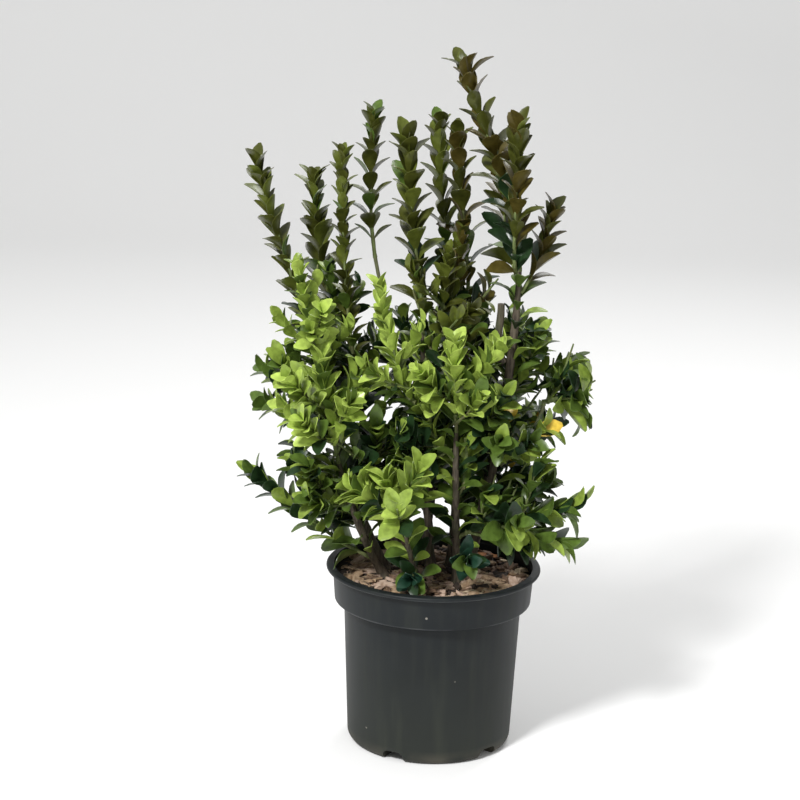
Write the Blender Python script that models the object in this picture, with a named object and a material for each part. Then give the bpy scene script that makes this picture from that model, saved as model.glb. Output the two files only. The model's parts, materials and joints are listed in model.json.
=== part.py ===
"""A green spire Japanese spindle in the black nursery pot it grows in.

Metres, +Z up. The origin is the centre of the pot's flat underside, and -Y is the side towards
the viewer. Several woody stems stand on the mulch, spread a little and turn upright. Each carries
spires and sprays of foliage: one object each, a slim green stem with pairs of leaves set crosswise.
"""

import math
import random
from collections import namedtuple

import bmesh
import bpy
from mathutils import Matrix, Vector, noise
from mathutils.bvhtree import BVHTree
from mathutils.kdtree import KDTree

GAP = 0.0003  # kept between pieces that touch
UP = Vector((0.0, 0.0, 1.0))

# Pot: a turned shell with a rolled lip, a collar and a step under it
POT_SIDES = 32
POT_HEIGHT = 0.196
POT_WALL = 0.0016
LIP_RADIUS = 0.115
LIP_THICKNESS = 0.0046
COLLAR_RADIUS_TOP = 0.1083
COLLAR_RADIUS_LOW = 0.1055
COLLAR_FOOT = 0.1575
STEP_FALL = 0.0010
BODY_RADIUS_TOP = 0.0953
BODY_RADIUS_LOW = 0.0886
BASE_CORNER = 0.0090
ROUND_STEPS = 3

# Five moulded notches in the pot's base, each with a drain hole in its back wall
NOTCHES = 5
FIRST_NOTCH = -25.0  # degrees from the front, towards +X
NOTCH_WIDTH = 0.024
NOTCH_HEIGHT = 0.0112
NOTCH_DEPTH_RADIUS = 0.064
NOTCH_ROUND = 0.0065
DRAIN_WIDTH = 0.010
DRAIN_LOW = 0.0028
DRAIN_HEIGHT = 0.0080
DRAIN_ROUND = 0.0020

# Filling: potting soil with a layer of bark mulch on it
GROUND = 0.184  # the mulch's highest level, where the stems are cut off flat
MULCH_FOOT = 0.1710
MULCH_DIP = 0.0035
MULCH_RINGS = 3
MULCH_GRAIN = 55.0

# Woody stems and boughs
LIMB_SIDES = 6
LIMB_STEPS = 6
FLARE = 0.75
FLARE_HEIGHT = 0.007

# Foliage
TWIG_SIDES = 3
TWIG_STEP = 0.036
TWIG_RADIUS = 0.0017
TWIG_TIP_RADIUS = 0.0009
SIDE_TWIG_LENGTH = 0.042
SIDE_TWIG_SPREAD = math.radians(52.0)
SIDE_TWIG_REACH = 0.62  # the share of the stem, from its foot, that side twigs grow from
GOLDEN_ANGLE = math.radians(137.5)
LEAF_WIDTH = 0.60  # as a share of the leaf's length, like the four below
LEAF_FOLD = 0.10
LEAF_DROOP = 0.12
LEAF_WIDEST = 0.64
TIP_LEAF = 0.90
LEAF_THICKNESS = 0.0014
LEAF_ROOT = 0.0035
TIP_SET = 0.0015  # how far below the twig's end its last leaves sit
LEAF_FACES = ((0, 3, 4), (1, 4, 3), (0, 4, 2), (1, 2, 4), (0, 5, 3), (1, 3, 5), (0, 2, 5), (1, 5, 2))
SPREAD_LOW = math.radians(62.0)
SPREAD_TIP = math.radians(32.0)
PITCH_SHRINK = 0.35
LEAF_TRIES = 6
LEAF_CLEARANCE = 0.0005
SHARED_SPACE = 0.012  # how far past the midway to the next stem a leaf may reach
AXIS_STEP = 0.006

Stem = namedtuple("Stem", "name foot tip lean radius tip_radius")
Bough = namedtuple("Bough", "name parent at tip lean radius tip_radius")
Shoot = namedtuple("Shoot", "name parent at tip lean leaf pitch twigs")

STEMS = (
    Stem("stem_right", (0.036, 0.004), (0.080, 0.000, 0.522), 0.10, 0.0062, 0.0042),
    Stem("stem_front_right", (0.026, -0.022), (0.019, -0.050, 0.360), 0.50, 0.0046, 0.0030),
    Stem("stem_front_left", (-0.052, -0.012), (-0.103, -0.045, 0.321), 0.75, 0.0046, 0.0030),
    Stem("stem_front_low", (-0.010, -0.046), (-0.030, -0.072, 0.252), 0.60, 0.0030, 0.0023),
    Stem("stem_left", (-0.050, 0.012), (-0.130, 0.000, 0.417), 0.70, 0.0042, 0.0027),
    Stem("stem_middle_left", (-0.026, -0.002), (-0.087, 0.012, 0.388), 0.55, 0.0052, 0.0034),
    Stem("stem_middle", (-0.002, 0.008), (-0.019, 0.000, 0.453), 0.50, 0.0050, 0.0030),
    Stem("stem_back", (-0.012, 0.036), (0.008, 0.058, 0.450), 0.50, 0.0046, 0.0030),
    Stem("stem_back_right", (0.018, 0.028), (0.028, 0.036, 0.470), 0.50, 0.0044, 0.0028),
    Stem("stem_back_left", (-0.040, 0.040), (-0.108, 0.048, 0.410), 0.60, 0.0042, 0.0027),
)

BOUGHS = (
    Bough("bough_right", "stem_right", 0.37, (0.112, 0.012, 0.376), 0.20, 0.0026, 0.0020),
    Bough("bough_slim", "stem_back", 0.55, (-0.073, 0.052, 0.522), 0.60, 0.0024, 0.0017),
    Bough("stub_right", "stem_right", 0.70, (0.062, -0.004, 0.484), 0.60, 0.0042, 0.0038),
)

SHOOTS = (
    Shoot("spire_left_outer", "stem_left", 1.0, (-0.197, -0.010, 0.639), 0.85, 0.028, 0.029, 0),
    Shoot("spire_left_rear", "stem_back_left", 1.0, (-0.139, 0.055, 0.618), 0.20, 0.032, 0.029, 0),
    Shoot("spire_left_thick", "stem_middle_left", 1.0, (-0.108, 0.015, 0.655), 0.15, 0.036, 0.026, 0),
    Shoot("spire_slim", "bough_slim", 1.0, (-0.078, 0.070, 0.682), 0.10, 0.027, 0.024, 0),
    Shoot("spire_middle", "stem_middle", 1.0, (-0.040, -0.020, 0.670), 0.25, 0.034, 0.028, 0),
    Shoot("spire_middle_rear", "stem_back", 1.0, (-0.009, 0.075, 0.676), 0.40, 0.032, 0.031, 0),
    Shoot("spire_right_rear", "stem_back_right", 1.0, (0.011, 0.040, 0.669), 0.50, 0.032, 0.031, 0),
    Shoot("spire_tallest", "stem_right", 1.0, (0.011, -0.010, 0.751), 0.90, 0.034, 0.031, 0),
    Shoot("spire_right_inner", "stem_right", 0.97, (0.055, 0.055, 0.654), 0.50, 0.034, 0.031, 0),
    Shoot("spire_right_front", "stem_right", 0.96, (0.072, -0.045, 0.691), 0.60, 0.032, 0.031, 0),
    Shoot("spire_right_small", "stem_right", 0.93, (0.113, 0.012, 0.594), 0.60, 0.033, 0.026, 0),
    Shoot("spray_right_upper", "stem_right", 0.60, (0.113, 0.035, 0.458), 0.50, 0.036, 0.026, 2),
    Shoot("spray_right_middle", "bough_right", 1.0, (0.155, 0.020, 0.391), 0.90, 0.033, 0.018, 1),
    Shoot("spray_right_low", "stem_front_right", 0.32, (0.159, -0.070, 0.296), 0.90, 0.034, 0.030, 2),
    Shoot("spray_left_low", "stem_front_left", 0.20, (-0.204, -0.035, 0.311), 0.95, 0.032, 0.030, 0),
    Shoot("spire_front_left", "stem_front_left", 1.0, (-0.122, -0.065, 0.458), 0.40, 0.045, 0.028, 2),
    Shoot("spire_front_right", "stem_front_right", 1.0, (0.014, -0.070, 0.483), 0.40, 0.045, 0.028, 1),
    Shoot("spire_leaning", "stem_front_right", 0.82, (-0.067, -0.050, 0.533), 0.35, 0.039, 0.031, 1),
    Shoot("spire_left_front", "stem_left", 0.90, (-0.149, -0.040, 0.545), 0.45, 0.036, 0.028, 1),
    Shoot("spray_left_middle", "stem_left", 0.70, (-0.162, 0.010, 0.450), 0.60, 0.043, 0.028, 2),
    Shoot("spray_left_lower", "stem_front_left", 0.62, (-0.162, -0.040, 0.339), 0.70, 0.045, 0.028, 1),
    Shoot("spire_front_low", "stem_front_low", 1.0, (-0.053, -0.085, 0.342), 0.50, 0.047, 0.028, 2),
    Shoot("spray_front_middle", "stem_middle_left", 0.55, (-0.063, -0.050, 0.386), 0.30, 0.046, 0.030, 3),
    Shoot("spire_right_middle", "stem_front_right", 0.58, (0.048, -0.035, 0.447), 0.20, 0.044, 0.030, 2),
    Shoot("spire_centre", "stem_middle", 0.88, (0.006, -0.035, 0.564), 0.30, 0.036, 0.030, 1),
    Shoot("spire_centre_right", "stem_back_right", 0.86, (0.018, 0.012, 0.575), 0.20, 0.036, 0.030, 1),
    Shoot("spire_left_inner", "stem_middle_left", 0.86, (-0.119, 0.030, 0.531), 0.30, 0.039, 0.030, 1),
    Shoot("spray_right_inner", "stem_right", 0.40, (0.069, -0.040, 0.395), 0.30, 0.045, 0.030, 2),
    Shoot("spray_centre", "stem_middle", 0.42, (-0.014, -0.042, 0.405), 0.30, 0.046, 0.030, 3),
    Shoot("spire_back_left", "stem_back_left", 0.68, (-0.125, 0.092, 0.440), 0.40, 0.044, 0.030, 2),
    Shoot("spire_back", "stem_back", 0.62, (-0.045, 0.108, 0.470), 0.40, 0.044, 0.030, 2),
    Shoot("spire_back_right", "stem_back_right", 0.62, (0.045, 0.100, 0.490), 0.40, 0.044, 0.030, 2),
    Shoot("spray_back_far_right", "stem_back_right", 0.38, (0.090, 0.085, 0.400), 0.50, 0.044, 0.031, 2),
    Shoot("spray_back_low_right", "stem_back_right", 0.18, (0.070, 0.108, 0.300), 0.60, 0.045, 0.030, 2),
    Shoot("spray_back_low_left", "stem_back_left", 0.25, (-0.090, 0.108, 0.290), 0.60, 0.045, 0.030, 2),
    Shoot("spray_back_low", "stem_back", 0.25, (-0.008, 0.125, 0.320), 0.50, 0.045, 0.030, 2),
    Shoot("spray_right_back", "stem_right", 0.47, (0.092, 0.078, 0.362), 0.50, 0.044, 0.030, 2),
    Shoot("spray_low_front", "stem_front_low", 0.40, (-0.024, -0.104, 0.238), 0.60, 0.047, 0.023, 0),
    Shoot("spray_low_front_right", "stem_front_right", 0.20, (0.040, -0.094, 0.254), 0.60, 0.047, 0.026, 0),
    Shoot("spray_low_right", "stem_right", 0.17, (0.096, -0.040, 0.272), 0.70, 0.045, 0.026, 1),
    Shoot("spray_low_left", "stem_left", 0.22, (-0.108, 0.024, 0.280), 0.80, 0.045, 0.026, 1),
    Shoot("spray_low_back", "stem_right", 0.22, (0.090, 0.052, 0.275), 0.80, 0.045, 0.026, 1),
)

MATERIALS = {
    "pot plastic": ((0.022, 0.025, 0.028), 0.55),
    "potting soil": ((0.035, 0.024, 0.016), 0.95),
    "bark mulch": ((0.30, 0.19, 0.11), 0.90),
    "stem bark": ((0.13, 0.11, 0.08), 0.85),
    "spindle leaf": ((0.11, 0.20, 0.04), 0.40),
}


def clear_scene():
    for obj in list(bpy.data.objects):
        bpy.data.objects.remove(obj)


def material(name):
    """The named finish, made once."""
    found = bpy.data.materials.get(name)
    if found:
        return found
    colour, roughness = MATERIALS[name]
    made = bpy.data.materials.new(name)
    made.use_nodes = True
    shader = made.node_tree.nodes["Principled BSDF"]
    shader.inputs["Base Color"].default_value = (*colour, 1.0)
    shader.inputs["Roughness"].default_value = roughness
    shader.inputs["Metallic"].default_value = 0.0
    return made


def add_object(name, mesh, finish, collection=None):
    mesh.materials.append(material(finish))
    obj = bpy.data.objects.new(name, mesh)
    (collection or bpy.context.scene.collection).objects.link(obj)
    return obj


def object_from(name, bm, finish):
    """An object of the bmesh's shape, which is then freed."""
    mesh = bpy.data.meshes.new(name)
    bm.to_mesh(mesh)
    bm.free()
    return add_object(name, mesh, finish)


def shade_round(obj, degrees):
    obj.data.shade_smooth()
    obj.data.set_sharp_from_angle(angle=math.radians(degrees))


def hide_cutter(obj):
    obj.hide_render = True
    obj.display_type = "WIRE"


def cut(obj, cutter):
    """Takes the cutter's shape out of the object."""
    hide_cutter(cutter)
    modifier = obj.modifiers.new(cutter.name, "BOOLEAN")
    modifier.operation = "DIFFERENCE"
    modifier.object = cutter


def turned(name, outline, finish):
    """A solid turned round Z from (radius, height) points that start and end on the axis."""
    bm = bmesh.new()
    verts = [bm.verts.new((radius, 0.0, height)) for radius, height in outline]
    edges = [bm.edges.new(pair) for pair in zip(verts, verts[1:])]
    bmesh.ops.spin(
        bm,
        geom=verts + edges,
        cent=(0.0, 0.0, 0.0),
        axis=UP,
        angle=math.tau,
        steps=POT_SIDES,
        use_merge=True,
    )
    bmesh.ops.remove_doubles(bm, verts=bm.verts, dist=1e-6)
    bmesh.ops.recalc_face_normals(bm, faces=bm.faces)
    return object_from(name, bm, finish)


def arc(centre, radius, first, last):
    """Points round a centre, from the first angle to the last, in degrees."""
    for step in range(ROUND_STEPS + 1):
        angle = math.radians(first + (last - first) * step / ROUND_STEPS)
        yield centre[0] + radius * math.cos(angle), centre[1] + radius * math.sin(angle)


def collar_radius(height, inset):
    """The collar's radius at a height, this far inside its outer face."""
    climb = (COLLAR_RADIUS_TOP - COLLAR_RADIUS_LOW) / (POT_HEIGHT - COLLAR_FOOT)
    return COLLAR_RADIUS_LOW - inset + climb * (height - COLLAR_FOOT)


def wall_outline(inset, top):
    """The pot wall's outline from the base's centre to a height, this far inside its outer face."""
    corner = (BODY_RADIUS_LOW - BASE_CORNER, BASE_CORNER)
    step = COLLAR_FOOT + inset
    return [
        (0.0, inset),
        *arc(corner, BASE_CORNER - inset, -90.0, 0.0),
        (BODY_RADIUS_TOP - inset, step - STEP_FALL),
        (collar_radius(step, inset), step),
        (collar_radius(top, inset), top),
    ]


def notch_boxes(name, width, low, high, radius, rounding):
    """A box for each notch, from this radius outwards, with its two upper edges rounded."""
    length = LIP_RADIUS - radius
    box = bmesh.new()
    bmesh.ops.create_cube(box, size=1.0)
    bmesh.ops.scale(box, verts=box.verts, vec=(width, length, high - low))
    upper = [
        edge
        for edge in box.edges
        if all(end.co.z > 0.0 for end in edge.verts)
        and abs(edge.verts[0].co.x - edge.verts[1].co.x) < GAP
    ]
    bmesh.ops.bevel(box, geom=upper, offset=rounding, segments=2, profile=0.5, affect="EDGES")
    bmesh.ops.translate(box, verts=box.verts, vec=(0.0, -radius - length / 2, (low + high) / 2))
    shape = bpy.data.meshes.new(name)
    box.to_mesh(shape)
    box.free()

    bm = bmesh.new()
    for notch in range(NOTCHES):
        angle = math.radians(FIRST_NOTCH + 360.0 * notch / NOTCHES)
        bmesh.ops.rotate(bm, verts=bm.verts, matrix=Matrix.Rotation(-angle, 3, "Z"))
        bm.from_mesh(shape)
        bmesh.ops.rotate(bm, verts=bm.verts, matrix=Matrix.Rotation(angle, 3, "Z"))
    return object_from(name, bm, "pot plastic")


def notch_cutter(name, grow):
    width = NOTCH_WIDTH + 2 * grow
    radius = NOTCH_DEPTH_RADIUS - grow
    return notch_boxes(name, width, -POT_WALL, NOTCH_HEIGHT + grow, radius, NOTCH_ROUND + grow)


def make_pot():
    """A thin shell: the outer solid less a cavity that leaves a wall round every notch."""
    lip_round = LIP_THICKNESS / 2
    lip_centre = (LIP_RADIUS - lip_round, POT_HEIGHT - lip_round)
    outline = wall_outline(0.0, POT_HEIGHT - LIP_THICKNESS)
    outline += list(arc(lip_centre, lip_round, -90.0, 90.0))
    outline.append((0.0, POT_HEIGHT))
    pot = turned("pot", outline, "pot plastic")

    above = POT_HEIGHT + LIP_THICKNESS
    cavity = turned("cavity", wall_outline(POT_WALL, above) + [(0.0, above)], "pot plastic")
    cut(cavity, notch_cutter("notch_liner", POT_WALL))
    cut(pot, cavity)
    cut(pot, notch_cutter("notch", 0.0))
    drain_radius = NOTCH_DEPTH_RADIUS - 2 * POT_WALL
    cut(pot, notch_boxes("drain", DRAIN_WIDTH, DRAIN_LOW, DRAIN_HEIGHT, drain_radius, DRAIN_ROUND))
    shade_round(pot, 35.0)
    return pot


def make_soil():
    inset = POT_WALL + GAP
    top = MULCH_FOOT - GAP
    soil = turned("soil", wall_outline(inset, top) + [(0.0, top)], "potting soil")
    cut(soil, notch_cutter("soil_notch", inset))
    shade_round(soil, 35.0)
    return soil


def mulch_height(x, y):
    """The mulch's uneven top: never above the ground level that the stems stand on."""
    rise = noise.noise(Vector((x, y, 0.0)) * MULCH_GRAIN)
    return GROUND - MULCH_DIP * min(1.0, max(0.0, 0.5 + rise))


def make_mulch():
    """A layer inside the collar: rings of points on top, one ring under them and a flat base."""
    inset = POT_WALL + GAP
    bm = bmesh.new()
    rings = []
    for ring in range(1, MULCH_RINGS + 1):
        share = ring / MULCH_RINGS
        row = []
        for side in range(POT_SIDES):
            angle = math.tau * side / POT_SIDES
            flat = Vector((math.cos(angle), math.sin(angle))) * share
            reach = collar_radius(GROUND - MULCH_DIP, inset)
            row.append(bm.verts.new((*(flat * reach), mulch_height(*(flat * reach)))))
        rings.append(row)
    low_radius = collar_radius(MULCH_FOOT, inset)
    angles = [math.tau * side / POT_SIDES for side in range(POT_SIDES)]
    foot = [
        bm.verts.new((low_radius * math.cos(a), low_radius * math.sin(a), MULCH_FOOT)) for a in angles
    ]
    rings.append(foot)
    middle = bm.verts.new((0.0, 0.0, mulch_height(0.0, 0.0)))
    for side in range(POT_SIDES):
        after = (side + 1) % POT_SIDES
        bm.faces.new((middle, rings[0][side], rings[0][after]))
        for inner, outer in zip(rings, rings[1:]):
            bm.faces.new((inner[side], outer[side], outer[after], inner[after]))
    bm.faces.new(foot)
    bmesh.ops.recalc_face_normals(bm, faces=bm.faces)
    return object_from("mulch", bm, "bark mulch")


class Path:
    """A smooth curve kept as straight stretches, so that what grows on it starts on its surface.

    It leaves the foot along start and turns upright before the tip: lean 1 keeps it straight.
    """

    def __init__(self, foot, start, tip, lean, count):
        rise = tip - foot
        end = (rise.normalized() * lean + UP * (1.0 - lean)).normalized()
        near = foot + start.normalized() * rise.length * 0.30
        far = tip - end * rise.length * 0.36
        self.points = []
        for index in range(count + 1):
            share = index / count
            rest = 1.0 - share
            self.points.append(
                foot * rest**3
                + near * 3 * rest**2 * share
                + far * 3 * rest * share**2
                + tip * share**3
            )
        ahead = [(far - near).normalized() for near, far in zip(self.points, self.points[1:])]
        between = [(low + high).normalized() for low, high in zip(ahead, ahead[1:])]
        self.headings = [start.normalized(), *between, ahead[-1]]
        self.length = sum((far - near).length for near, far in zip(self.points, self.points[1:]))

    def place(self, travelled):
        """The point this far along the path, and the way the path heads there."""
        for index in range(len(self.points) - 1):
            near, far = self.points[index : index + 2]
            stretch = (far - near).length
            if travelled <= stretch or index == len(self.points) - 2:
                share = min(1.0, travelled / stretch)
                heading = self.headings[index].lerp(self.headings[index + 1], share)
                return near.lerp(far, share), heading.normalized()
            travelled -= stretch


def steps_for(foot, tip, step):
    return max(2, round((tip - foot).length / step))


def tube(path, radii, sides):
    """A tapering limb: a ring of points across each heading, with closed ends."""
    bm = bmesh.new()
    across = path.headings[0].orthogonal().normalized()
    rings = []
    for centre, heading, radius in zip(path.points, path.headings, radii):
        across = (across - heading * across.dot(heading)).normalized()
        other = heading.cross(across)
        turns = [math.tau * side / sides for side in range(sides)]
        rings.append(
            [
                bm.verts.new(centre + (across * math.cos(turn) + other * math.sin(turn)) * radius)
                for turn in turns
            ]
        )
    for low, high in zip(rings, rings[1:]):
        for side in range(sides):
            after = (side + 1) % sides
            bm.faces.new((low[side], low[after], high[after], high[side]))
    bm.faces.new(reversed(rings[0]))
    bm.faces.new(rings[-1])
    return bm


def limb_radius(limb, share, height):
    """The radius along a limb: an even taper, with a root flare just above the ground."""
    radius = limb.radius + (limb.tip_radius - limb.radius) * share
    if isinstance(limb, Stem):
        radius *= 1.0 + FLARE * math.exp(-(height - GROUND) / FLARE_HEIGHT)
    return radius


def make_limb(limb, path):
    last = len(path.points) - 1
    radii = [limb_radius(limb, index / last, point.z) for index, point in enumerate(path.points)]
    obj = object_from(limb.name, tube(path, radii, LIMB_SIDES), "stem bark")
    shade_round(obj, 70.0)
    return obj


def attach(parent, path, at, tip, radius):
    """Where a twig of this radius starts, just clear of its parent, and the way it sets off."""
    centre, heading = path.place(at * path.length)
    if at == 1.0:
        return centre + heading * GAP, heading
    toward = tip - centre
    side = (toward - heading * toward.dot(heading)).normalized()
    start = (side * 0.7 + heading * 0.7).normalized()
    lift = radius * math.sqrt(1.0 - start.dot(side) ** 2)
    return centre + side * (limb_radius(parent, at, centre.z) + lift + GAP), start


def make_limbs():
    """Each stem and bough by name: its row, its path and its object."""
    limbs = {}
    for stem in STEMS:
        foot = Vector((*stem.foot, GROUND + GAP))
        tip = Vector(stem.tip)
        flat = Vector((tip.x - foot.x, tip.y - foot.y, 0.0))
        path = Path(foot, flat * 1.6 / (tip.z - foot.z) + UP, tip, stem.lean, LIMB_STEPS)
        path.headings[0] = UP
        low = foot + (path.points[1] - foot) * (FLARE_HEIGHT / (path.points[1].z - foot.z))
        path.points.insert(1, low)
        path.headings.insert(1, path.headings[1])
        limbs[stem.name] = (stem, path, make_limb(stem, path))
    for bough in BOUGHS:
        parent, path, _ = limbs[bough.parent]
        tip = Vector(bough.tip)
        foot, start = attach(parent, path, bough.at, tip, bough.radius)
        path = Path(foot, start, tip, bough.lean, LIMB_STEPS)
        limbs[bough.name] = (bough, path, make_limb(bough, path))
    return limbs


def leaf_points(seat, root, heading, out, spread, length, roll):
    """A folded leaf of eight faces: seat in the twig, tip, left, right, upper and under point."""
    along = (heading * math.cos(spread) + out * math.sin(spread)).normalized()
    face = (heading - along * heading.dot(along)).normalized()
    face.rotate(Matrix.Rotation(roll, 3, along))
    across = along.cross(face)
    widest = root + along * length * LEAF_WIDEST + face * length * LEAF_FOLD
    half = across * length * LEAF_WIDTH / 2
    rib = root + along * length * 0.5
    return [
        seat,
        root + along * length - face * length * LEAF_DROOP,
        widest - half,
        widest + half,
        rib + face * LEAF_THICKNESS / 2,
        rib - face * LEAF_THICKNESS / 2,
    ]


class Space:
    """What each piece fills, so that a twig or leaf that would touch another piece is skipped."""

    def __init__(self, solids, axes):
        graph = bpy.context.evaluated_depsgraph_get()
        self.solids = [BVHTree.FromObject(solid, graph) for solid in solids]
        self.taken = []
        self.axes = axes
        self.axis_owner = [name for name, points in axes.items() for _ in points]
        self.nearest_axis = KDTree(len(self.axis_owner))
        places = [place for points in axes.values() for place in points]
        for index, place in enumerate(places):
            self.nearest_axis.insert(place, index)
        self.nearest_axis.balance()

    def take(self, owner, points, faces):
        centre = sum(points, Vector()) / len(points)
        reach = max((point - centre).length for point in points)
        self.taken.append((owner, centre, reach, BVHTree.FromPolygons(points, faces)))

    def is_own(self, owner, point):
        """Whether the point is no further past the midway to another stem than it may be."""
        _, index, nearest = self.nearest_axis.find(point)
        if self.axis_owner[index] == owner:
            return True
        own = min((point - place).length for place in self.axes[owner])
        return own < nearest + SHARED_SPACE

    def is_free(self, owner, points, faces):
        if not all(self.is_own(owner, point) for point in points):
            return False
        centre = sum(points, Vector()) / len(points)
        swollen = [point + (point - centre).normalized() * LEAF_CLEARANCE for point in points]
        tree = BVHTree.FromPolygons(swollen, faces)
        if any(solid.overlap(tree) for solid in self.solids):
            return False
        reach = max((point - centre).length for point in swollen)
        for other, place, other_reach, other_tree in self.taken:
            near = (place - centre).length < reach + other_reach
            if other != owner and near and other_tree.overlap(tree):
                return False
        return True


def grow_leaves(shoot, path, size, space, dice):
    """Pairs of leaves set crosswise, from the tip down. One that touches is turned, or skipped."""
    leaves = []
    turn = dice.uniform(0.0, math.tau)
    travelled = path.length - TIP_SET
    while travelled > 0.3 * shoot.pitch:
        share = travelled / path.length
        near_tip = max(0.0, 1.0 - (path.length - travelled) / (2.0 * shoot.pitch))
        root, heading = path.place(travelled)
        seat = path.place(travelled - LEAF_ROOT)[0]
        aside = heading.orthogonal().normalized()
        length = size * (1.0 - (1.0 - TIP_LEAF) * near_tip) * dice.uniform(0.9, 1.08)
        spread = SPREAD_LOW + (SPREAD_TIP - SPREAD_LOW) * share**0.8
        for half_turn in (0.0, math.pi):
            for attempt in range(LEAF_TRIES):
                out = aside.copy()
                stray = 0.3 * attempt * dice.uniform(-1.0, 1.0)
                out.rotate(Matrix.Rotation(turn + half_turn + stray, 3, heading))
                tilt = spread + math.radians(dice.uniform(-8.0, 8.0)) * (1 + attempt)
                roll = math.radians(dice.uniform(-14.0, 14.0))
                points = leaf_points(seat, root, heading, out, tilt, length, roll)
                if space.is_free(shoot.name, points, LEAF_FACES):
                    space.take(shoot.name, points, LEAF_FACES)
                    leaves.append(points)
                    break
        turn += math.pi / 2 + math.radians(dice.uniform(-10.0, 10.0))
        travelled -= shoot.pitch * (1.0 - PITCH_SHRINK * share)
    return leaves


def twig_shape(path):
    """The corners and faces of a three-sided twig."""
    last = len(path.points) - 1
    radii = [
        TWIG_RADIUS + (TWIG_TIP_RADIUS - TWIG_RADIUS) * index / last
        for index in range(len(path.points))
    ]
    bm = tube(path, radii, TWIG_SIDES)
    corners = [vert.co.copy() for vert in bm.verts]
    bm.verts.index_update()
    faces = [tuple(vert.index for vert in face.verts) for face in bm.faces]
    bm.free()
    return corners, faces


def side_twig_paths(shoot, stem, dice):
    """Short side twigs round the stem's lower part, each a golden angle on from the last."""
    turn = dice.uniform(0.0, math.tau)
    for index in range(shoot.twigs):
        share = SIDE_TWIG_REACH * (index + 0.6) / shoot.twigs
        root, heading = stem.place(share * stem.length)
        out = heading.orthogonal().normalized()
        out.rotate(Matrix.Rotation(turn, 3, heading))
        start = heading * math.cos(SIDE_TWIG_SPREAD) + out * math.sin(SIDE_TWIG_SPREAD)
        length = SIDE_TWIG_LENGTH * dice.uniform(0.8, 1.15)
        tip = root + start * length + UP * length * 0.2
        yield Path(root, start, tip, 0.6, 2)
        turn += GOLDEN_ANGLE


def join_mass(name, shapes):
    """One solid: the stem, its twigs and its leaves under one Boolean union, applied."""
    meshes = []
    for corners, faces in shapes:
        mesh = bpy.data.meshes.new(name)
        mesh.from_pydata(corners, [], faces)
        meshes.append(mesh)
    obj = add_object(name, meshes[0], "spindle leaf")
    group = bpy.data.collections.new(name + "_pieces")
    bpy.context.scene.collection.children.link(group)
    for mesh in meshes[1:]:
        add_object("piece", mesh, "spindle leaf", group)
    union = obj.modifiers.new("union", "BOOLEAN")
    union.operation = "UNION"
    union.operand_type = "COLLECTION"
    union.collection = group
    graph = bpy.context.evaluated_depsgraph_get()
    joined = bpy.data.meshes.new_from_object(obj.evaluated_get(graph))
    obj.modifiers.clear()
    obj.data = joined
    for helper in list(group.objects):
        bpy.data.objects.remove(helper)
    bpy.data.collections.remove(group)
    return obj


def shoot_path(shoot, limbs):
    """The stem's path, which ends where the topmost leaves can still reach the shoot's tip."""
    parent, path, _ = limbs[shoot.parent]
    tip = Vector(shoot.tip)
    foot, start = attach(parent, path, shoot.at, tip, TWIG_RADIUS)
    rise = (tip - foot).normalized()
    end = (rise * shoot.lean + UP * (1.0 - shoot.lean)).normalized()
    top = tip - end * shoot.leaf * TIP_LEAF * math.cos(SPREAD_TIP)
    return Path(foot, start, top, shoot.lean, steps_for(foot, top, TWIG_STEP))


def axis_points(path):
    count = round(path.length / AXIS_STEP)
    return [path.place(path.length * index / count)[0] for index in range(count + 1)]


def make_foliage(limbs, solids):
    """Every mass: first all the stems, then twigs and leaves wherever there is room."""
    paths = {shoot.name: shoot_path(shoot, limbs) for shoot in SHOOTS}
    space = Space(solids, {name: axis_points(path) for name, path in paths.items()})
    stems = {name: twig_shape(path) for name, path in paths.items()}
    for name, shape in stems.items():
        space.take(name, *shape)
    for shoot in SHOOTS:
        dice = random.Random(shoot.name)
        shapes = [stems[shoot.name]]
        leaves = []
        for twig in side_twig_paths(shoot, paths[shoot.name], dice):
            shape = twig_shape(twig)
            if space.is_free(shoot.name, *shape):
                space.take(shoot.name, *shape)
                shapes.append(shape)
                leaves += grow_leaves(shoot, twig, shoot.leaf * 0.92, space, dice)
        leaves += grow_leaves(shoot, paths[shoot.name], shoot.leaf, space, dice)
        join_mass(shoot.name, shapes + [(points, LEAF_FACES) for points in leaves])
        print(shoot.name, len(shapes) - 1, "side twigs", len(leaves), "leaves")


def main():
    clear_scene()
    pot = make_pot()
    make_soil()
    mulch = make_mulch()
    limbs = make_limbs()
    make_foliage(limbs, [pot, mulch] + [obj for _, _, obj in limbs.values()])


main()
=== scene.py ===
# %% [markdown]
# # A potted green spire Japanese spindle
#
# The real object is an upright evergreen shrub in the black moulded pot of a plant nursery. The
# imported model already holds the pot, the filling, the stems and the masses of foliage as plain
# solids at their true size. This lesson dresses them: a smooth pot, loose bark chips, stems with
# ridged bark, and leaves grown by the same rule as the solids but finer and thinner.

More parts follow.
